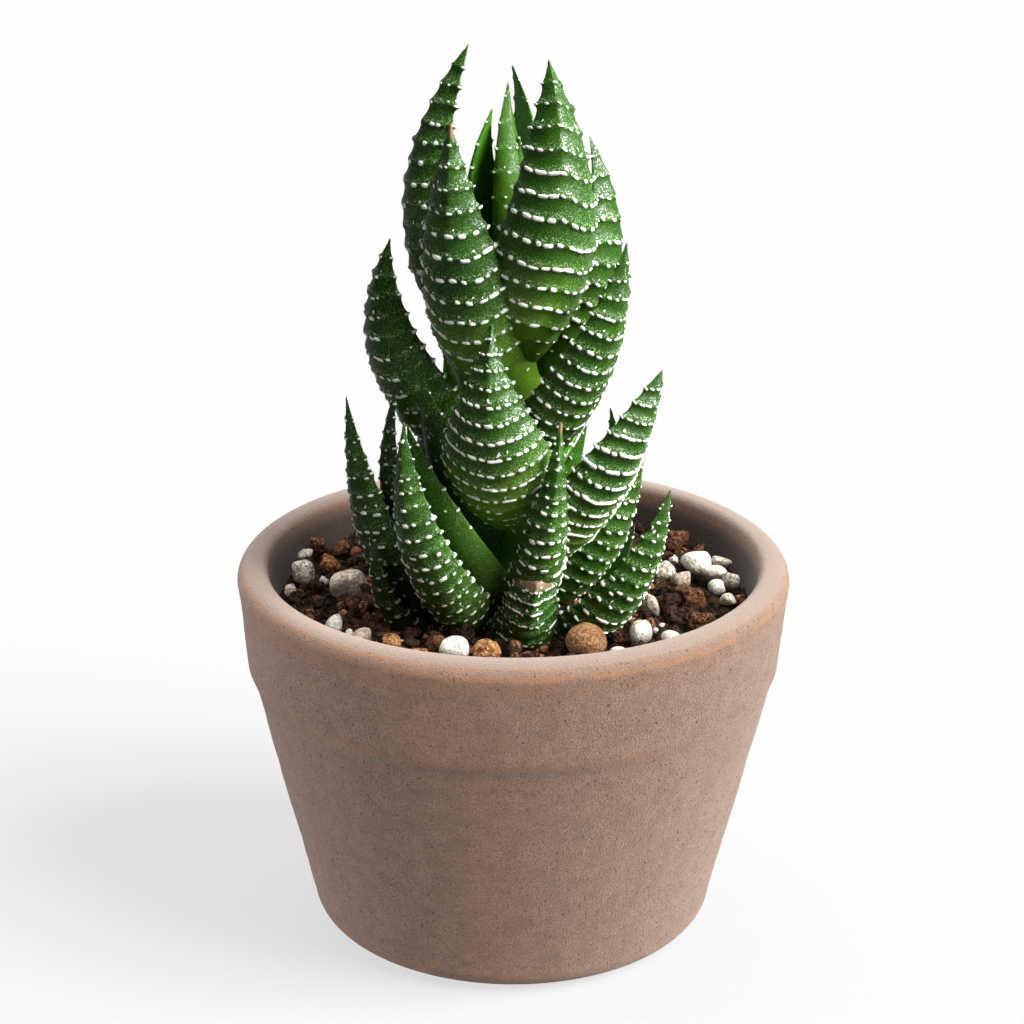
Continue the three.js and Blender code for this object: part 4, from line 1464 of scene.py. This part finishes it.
LEAVES = [
    Leaf("heart_bud", 108, (0.6, -2, 125.4), -60, 3.2, (0, 0), plain=0.6,
         rows=Rows.SPARSE, fresh=0.4, tier=Tier.SMALL),
    Leaf("heart_left", 103, (-3.3, -3, 129.6), 140, 7, (3, 4), thick=0.6, plain=0.4, pitch=3.3,
         rows=Rows.SPARSE, tone=1.0, sag=0.4),
    Leaf("heart_right", 104, (-1, 0, 133), -35, 7.5, (0, -1), lean=(0.5, -1), plain=0.45, pitch=3.8,
         rows=Rows.SPARSE, tone=1.0, sag=0.4),
    Leaf("heart_back", 104, (-0.5, 2, 135), 40, 7.2, (3, 4), thick=0.6, plain=0.45,
         rows=Rows.SPARSE, tone=1.0, fresh=0.3, sag=0.4),
    Leaf("crown_right", 90, (4.7, -9, 138), -74, 15, (9, 11), lean=(0.5, 1.5), foot=0.35, plain=0.25,
         tone=0.5, fresh=0.55, sag=0.8, tilt=3.4, tooth=0.28, bloom=0.7),
    Leaf("crown_left", 92, (-6.7, -1, 138.6), -152, 11.2, (11, 8.6), lean=(-3, -2.5), point=0.85, thick=0.8,
         tone=0.4, dry=0.6, tooth=0.5, rows=Rows.TOOTHED),
    Leaf("crown_front", 88, (-9, -14, 130), -106, 14.6, (8, 6.5), lean=(-0.8, -1.2), widest=0.22, foot=1.15,
         plain=0.23, fresh=0.7, dry=1.7, sag=1.1, tone=0.35),
    Leaf("crown_side", 88, (10.7, -4, 126), -18, 13.6, (8, 8), lean=(0.5, -1.5), foot=0.7, tone=0.5),
    Leaf("back_1", 95, (1.8, 6, 122), 95, 10.5, (6, 5), pitch=3.9, rows=Rows.WIDE, tier=Tier.BACK),
    Leaf("back_2", 86, (-10, 6, 117), 140, 12.5, (6, 5), pitch=3.9, rows=Rows.WIDE, tier=Tier.BACK),
    Leaf("shoulder_right", 74, (16, -14, 112.8), -50, 12.5, (4, 11), lean=(-4, -5), foot=0.9, pitch=2.3,
         rows=Rows.FINE, tone=0.4, sag=1.2, bloom=0.5),
    Leaf("shoulder_left", 76, (-18, -8, 111.7), -138, 14, (7.5, 8), lean=(-3.5, -3.8), thick=0.75, pitch=2.6,
         rows=Rows.FINE, tone=0.3, bare=(0.05, 0.3)),
    Leaf("back_3", 80, (11.3, 8, 110), 50, 12.5, (5, 4), pitch=3.9, rows=Rows.WIDE, tier=Tier.BACK),
    Leaf("back_4", 76, (-5, 14, 103), 110, 14.5, (6, 7), pitch=3.9, rows=Rows.WIDE, tier=Tier.BACK),
    Leaf("middle_front", 66.5, (-3.2, -17, 102), -95, 17, (9, 11), lean=(1, -1), foot=0.6, widest=0.36,
         point=1.55, thick=0.65, pitch=2.1, rows=Rows.FINE, tone=0.5, fresh=0.9, sag=1.2, bloom=0.5),
    Leaf("middle_left", 59, (-13.6, -15, 93.2), -130, 11, (4, 4), lean=(4, 2), thick=0.6, plain=0.45,
         rows=Rows.SPARSE, tone=0.35, tier=Tier.SMALL),
    Leaf("back_5", 68, (7, 16, 95), 70, 14, (6, 8), pitch=3.9, rows=Rows.WIDE, tier=Tier.BACK),
    Leaf("back_6", 62, (-12, 12, 85), 150, 13, (6, 6), pitch=3.9, rows=Rows.WIDE, tier=Tier.BACK),
    Leaf("side_small", 64, (11, -4, 82), -20, 7, (2, 1), lean=(0, 1), plain=0.6, rows=Rows.SPARSE, tier=Tier.SMALL),
    Leaf("lower_right", 60, (21.6, -14, 93.9), -45, 14.8, (4.5, 7.5), lean=(-3.2, -7.2), foot=0.8, point=0.85,
         pitch=2.2, rows=Rows.CRUSTED, tone=0.4, fresh=0.7, sag=1.2),
    Leaf("lower_left", 50, (-15.6, -15, 85.6), -140, 14.6, (3, 6), lean=(6, 6), foot=0.8, thick=0.6, plain=0.7,
         rows=Rows.SMOOTH, fresh=0.15),
    Leaf("back_7", 56, (-2, 19, 82), 100, 14, (8, 9), pitch=3.9, rows=Rows.WIDE, tier=Tier.BACK),
    Leaf("back_8", 50, (14.8, 6, 81.2), 40, 8.5, (13, 9), pitch=3.9, rows=Rows.WIDE, tier=Tier.BACK),
    Leaf("back_9", 48, (-20, 10, 71), 150, 10, (9, 7), pitch=3.9, rows=Rows.WIDE, tier=Tier.BACK),
    Leaf("lower_side", 51, (20, -6, 81), -28, 11, (7, 4), lean=(2, -2), thick=0.65, pitch=2.3,
         rows=Rows.SCALES, tone=0.45, sag=0.8, tier=Tier.SMALL),
    Leaf("base_slender", 50, (6.8, -19, 87.4), -78, 8.4, (14, 9), lean=(-0.6, -0.6), foot=1, thick=0.8, widest=0.25,
         pitch=2.0, rows=Rows.SCALES, dry=1.5, sag=0.7, tier=Tier.SMALL),
    Leaf("base_left", 48, (-15.8, -20, 87.7), -122, 10.6, (13, 11), lean=(2.5, 1), foot=0.7, thick=0.8, widest=0.3,
         pitch=2.1, rows=Rows.SCALES, sag=0.8, tier=Tier.SMALL),
    Leaf("base_inner", 50, (-17.2, -14, 91.5), -170, 8.5, (12, 6), lean=(2, -2), thick=0.8, pitch=2.5,
         rows=Rows.SCALES, tone=0.3, sag=0.6, tier=Tier.SMALL),
    Leaf("base_right", 46, (23, -17, 76.5), -50, 12.6, (12.2, 10), lean=(-2.7, -2.3), foot=0.7, thick=0.75,
         widest=0.3, pitch=2.0, rows=Rows.SCALES, tone=0.45, sag=0.8, tier=Tier.SMALL),
    Leaf("base_outer", 44, (-24.6, -12, 88.9), -145, 12.4, (10.5, 6), lean=(-2, -1), widest=0.3, pitch=2.6,
         rows=Rows.SCALES, tone=0.3, sag=0.6, tier=Tier.SMALL),
    Leaf("base_stub", 46, (3.4, -21, 64.5), -85, 11.5, (8.2, 4.6), blunt=0.4, thick=0.8, pitch=1.5,
         rows=Rows.LINES, tone=0.35, fresh=0.3, sag=0.8, dry=1.3, tier=Tier.SMALL),
    Leaf("base_little", 44, (-21.1, -18, 71), -150, 8, (13.6, 6), lean=(-2.6, 2), pitch=2.5,
         rows=Rows.SCALES, tone=0.3, sag=0.5, tier=Tier.SMALL),
    Leaf("back_10", 47, (3, 22, 72), 80, 11, (10, 8), pitch=3.9, rows=Rows.WIDE, tier=Tier.BACK),
    Leaf("back_11", 46, (18.5, -2, 64.8), 20, 6, (9, 5), lean=(2, 0), pitch=3.9, rows=Rows.WIDE, tier=Tier.BACK),
]


@dataclass(frozen=True)
class LeafSkin:
    """The waxy green skin with its white dots and the glitter of its cells: real gloss in the coat, and silver
    speckle in the colour that is mostly painted highlight and painted glints.
    """

    deep: Colour = (0.008, 0.034, 0.002)
    main: Colour = (0.030, 0.100, 0.004)
    fresh: Colour = (0.150, 0.310, 0.018)
    # silver speckle of the skin, mostly used as painted highlight and painted glints
    silver_and_highlight: Colour = (0.330, 0.470, 0.250)
    dots: Colour = (0.88, 0.88, 0.80)
    inner: Colour = (0.060, 0.210, 0.012)
    withered: Colour = (0.26, 0.15, 0.085)
    relief: float = 0.00004

    def finish(self, effects: SharedEffects) -> bpy.types.Material:
        """Wires the skin.

        Args:
            effects: The shared node groups.

        Returns:
            The material of every leaf.
        """
        finish = Finish("waxy leaf skin", effects)
        board = finish.board
        cells = finish.group(effects.cells, scale=4500.0)
        cloud = finish.group(effects.stain, scale=140.0, cover=0.5)
        strokes = self.strokes(board)
        colour = board.blend(board.mark("tone"), self.deep, self.main)
        colour = finish.tint(colour, cloud, 0.4, self.main)
        colour = board.blend(board.mark("fresh"), colour, self.fresh)
        colour = finish.tint(colour, board.mark("inner"), 0.8, self.inner)
        # silver: the skin's faint speckle, plus a painted highlight above each row and painted glints on the cells
        frost = board.ramp(board.sum("MULTIPLY", board.mark("frost"), strokes), 0.12, 0.5)
        speckle_and_glint = board.ramp(cells, 0.25, 0.80)
        # painted highlight on each leaf's right side
        bloom = board.sum("MULTIPLY", board.mark("bloom"), board.ramp(strokes, 0.30, 0.65))
        frost = board.sum("MAXIMUM", board.sum("MULTIPLY", frost, 0.85), bloom)
        frost = board.sum("MULTIPLY", board.sum("ADD", frost, 0.02), speckle_and_glint)
        colour = board.blend(frost, colour, self.silver_and_highlight)
        colour = board.blend(board.mark("dry"), colour, self.withered)
        dots = board.ramp(board.mark("dots"), -0.14, 0.30)
        colour = board.blend(dots, colour, self.dots)
        rough = board.ramp(dots, 0.0, 1.0, 0.45, 0.62)
        height = board.sum("ADD", cells, board.sum("MULTIPLY", dots, 0.3))
        gloss = board.sum("MULTIPLY", board.ramp(cells, 0.32, 0.64), board.ramp(dots, 0.0, 1.0, 1.0, 0.0))
        return finish.close(colour, rough, height, self.relief, Specular_IOR_Level=0.1, Coat_Weight=gloss,
                            Coat_Roughness=0.3, Coat_IOR=1.6)

    @staticmethod
    def strokes(board: Board) -> bpy.types.NodeSocket:
        """Short upward streaks that break the edge of the silver speckle and painted highlight, measured on the
        leaf itself.
        """
        across = board.sum("MULTIPLY", board.mark("across"), 2.4)
        along = board.sum("MULTIPLY", board.mark("along"), 0.7)
        return board.noise(board.put("CombineXYZ", {0: across, 1: along}).outputs[0], 1.0, 3.0, 0.6)


class Plant:
    """The whole rosette: the stem and its leaves."""

    def dress(self, effects: SharedEffects) -> list[bpy.types.Object]:
        """Builds the stem and every leaf, settles them and gives back the leaves."""
        Stem().dress(effects)
        skin = LeafSkin().finish(effects)
        pieces = []
        for leaf in LEAVES:
            pieces.append(leaf.build())
            settle(pieces[-1], skin, "leaf", f"leaf_{leaf.name}")
        return pieces


# Studio


@dataclass(frozen=True)
class Lamp:
    """One broad far-off light, with its strength in watts to a square metre.

    spread is how wide it looks from the plant, lean how far it stands from straight
    overhead, and turn how far round the plant it stands from the front, in degrees.
    """

    name: str
    strength: float
    spread: float
    lean: float
    turn: float

    def hang(self) -> bpy.types.Object:
        """Hangs the light.

        Returns:
            The light.
        """
        data = bpy.data.lights.new(self.name, "SUN")
        data.energy = self.strength
        data.angle = math.radians(self.spread)
        lamp = bpy.data.objects.new(self.name, data)
        lamp.rotation_euler = (math.radians(self.lean), 0.0, math.radians(self.turn))
        bpy.context.collection.objects.link(lamp)
        return lamp

    def aim(self, pieces: list[bpy.types.Object], state: str) -> bpy.types.Object:
        """Hangs the light so that it reaches only these pieces, or every piece but these.

        Args:
            pieces: The pieces.
            state: "INCLUDE" for only these and "EXCLUDE" for all but these.

        Returns:
            The light.
        """
        lamp = self.hang()
        reached = bpy.data.collections.new(f"{self.name}_reach")
        for piece in pieces:
            reached.objects.link(piece)
        for entry in reached.collection_objects:
            entry.light_linking.link_state = state
        lamp.light_linking.receiver_collection = reached
        return lamp


@dataclass
class Studio:
    """A pale floor, soft light from the right and the camera, with angles in degrees."""

    camera_place: tuple[float, float, float] = (0.0, -0.3906, 0.2143)
    camera_pitch: float = 20.76
    camera_roll: float = 0.232
    focal_pixels: float = 2720.0
    image_pixels: int = 1024
    middle_right: float = 1.5
    key: Lamp = Lamp("key_light", 7.7, 46.0, 52.0, 73.0)
    top: Lamp = Lamp("top_light", 2.0, 60.0, 12.0, 180.0)
    fill: Lamp = Lamp("fill_light", 2.0, 80.0, 50.0, -50.0)
    side: Lamp = Lamp("leaf_light", 5.2, 30.0, 56.0, 86.0)
    low: Lamp = Lamp("floor_light", 15.0, 60.0, 12.0, 180.0)
    floor_reach: float = 4000.0
    floor_level: float = -0.05
    floor_tone: float = 0.157
    floor_bounce: float = 0.075
    floor_rest: float = 0.05
    behind: tuple[float, float, float] = (-0.5, 0.87, 0.0)
    front_glow: float = 0.02
    back_glow: float = 0.45
    sky_tone: float = 0.98

    def camera(self) -> None:
        """Places the camera at the photograph's viewing angle."""
        data = bpy.data.cameras.new("front_camera")
        data.sensor_width = 36.0
        data.lens = self.focal_pixels / self.image_pixels * data.sensor_width
        data.shift_x = -self.middle_right / self.image_pixels
        data.clip_start = 0.01
        camera = bpy.data.objects.new("front_camera", data)
        camera.location = self.camera_place
        pitch = math.radians(90 - self.camera_pitch)
        roll = Euler((0, 0, math.radians(self.camera_roll))).to_matrix()
        camera.rotation_euler = (Euler((pitch, 0, 0)).to_matrix() @ roll).to_euler()
        bpy.context.collection.objects.link(camera)
        bpy.context.scene.camera = camera

    def floor(self) -> bpy.types.Object:
        """Lays the pale floor and gives it back."""
        sides = [(-1, -1), (1, -1), (1, 1), (-1, 1)]
        corners = np.array([(x * self.floor_reach, y * self.floor_reach, self.floor_level) for x, y in sides])
        piece = mesh_piece("pale_floor", corners, [np.array([[0, 1, 2, 3]])], {})
        paint = bpy.data.materials.new("pale floor paint")
        paint.use_nodes = True
        board = Board(paint.node_tree)
        path = board.put("LightPath").outputs
        tint = board.blend(path["Is Diffuse Ray"], (self.floor_rest,) * 3, (self.floor_bounce,) * 3)
        tint = board.blend(path["Is Camera Ray"], tint, (self.floor_tone,) * 3)
        shader = board.put("BsdfPrincipled", {"Base Color": tint, "Roughness": 0.9, "Specular IOR Level": 0.0})
        board.put("OutputMaterial", {"Surface": shader.outputs[0]})
        piece.data.materials.append(paint)
        return piece

    def light(self, floor: bpy.types.Object, skins: list[bpy.types.Object]) -> None:
        """Lights the room.

        A large soft key stands to the right, a second light from there is for the leaves
        alone, and weak lights for the rest hang above and to the left. The backdrop
        glows, and a light of its own, without shadows, keeps the floor pale.

        Args:
            floor: The pale floor.
            skins: The leaves, which have their own light from the right.
        """
        world = bpy.data.worlds.new("pale room")
        world.use_nodes = True
        board = Board(world.node_tree)
        toward = board.put("TexCoord").outputs["Generated"]
        behind = board.put("VectorMath", {0: toward, 1: self.behind}, operation="DOT_PRODUCT").outputs["Value"]
        glow = board.ramp(behind, -0.2, 0.7, self.front_glow, self.back_glow)
        seen = board.put("LightPath").outputs["Is Camera Ray"]
        unseen = board.sum("MULTIPLY", glow, board.sum("SUBTRACT", 1.0, seen))
        glow = board.sum("ADD", unseen, board.sum("MULTIPLY", seen, self.sky_tone))
        sky = board.put("Background", {"Color": (1.0, 1.0, 1.0), "Strength": glow})
        board.put("OutputWorld", {"Surface": sky.outputs[0]})
        bpy.context.scene.world = world
        self.key.hang()
        self.top.aim([floor, *skins], "EXCLUDE")
        self.fill.aim([floor, *skins], "EXCLUDE")
        self.low.aim([floor], "INCLUDE").data.use_shadow = False
        self.side.aim(skins, "INCLUDE")

    def dress(self, skins: list[bpy.types.Object]) -> None:
        """Sets up the whole studio round the leaves."""
        bpy.context.scene.view_settings.view_transform = "Standard"
        self.camera()
        self.light(self.floor(), skins)


def main() -> None:
    """Builds every sub-assembly in order."""
    logging.basicConfig(level=logging.INFO, format="%(message)s")
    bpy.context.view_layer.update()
    effects = SharedEffects()
    Pot().dress(effects)
    mix = PottingMix()
    mix.dress(effects)
    skins = Plant().dress(effects)
    Grains(mix, effects).dress()
    Studio().dress(skins)
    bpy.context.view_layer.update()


if __name__ == "__main__":
    main()
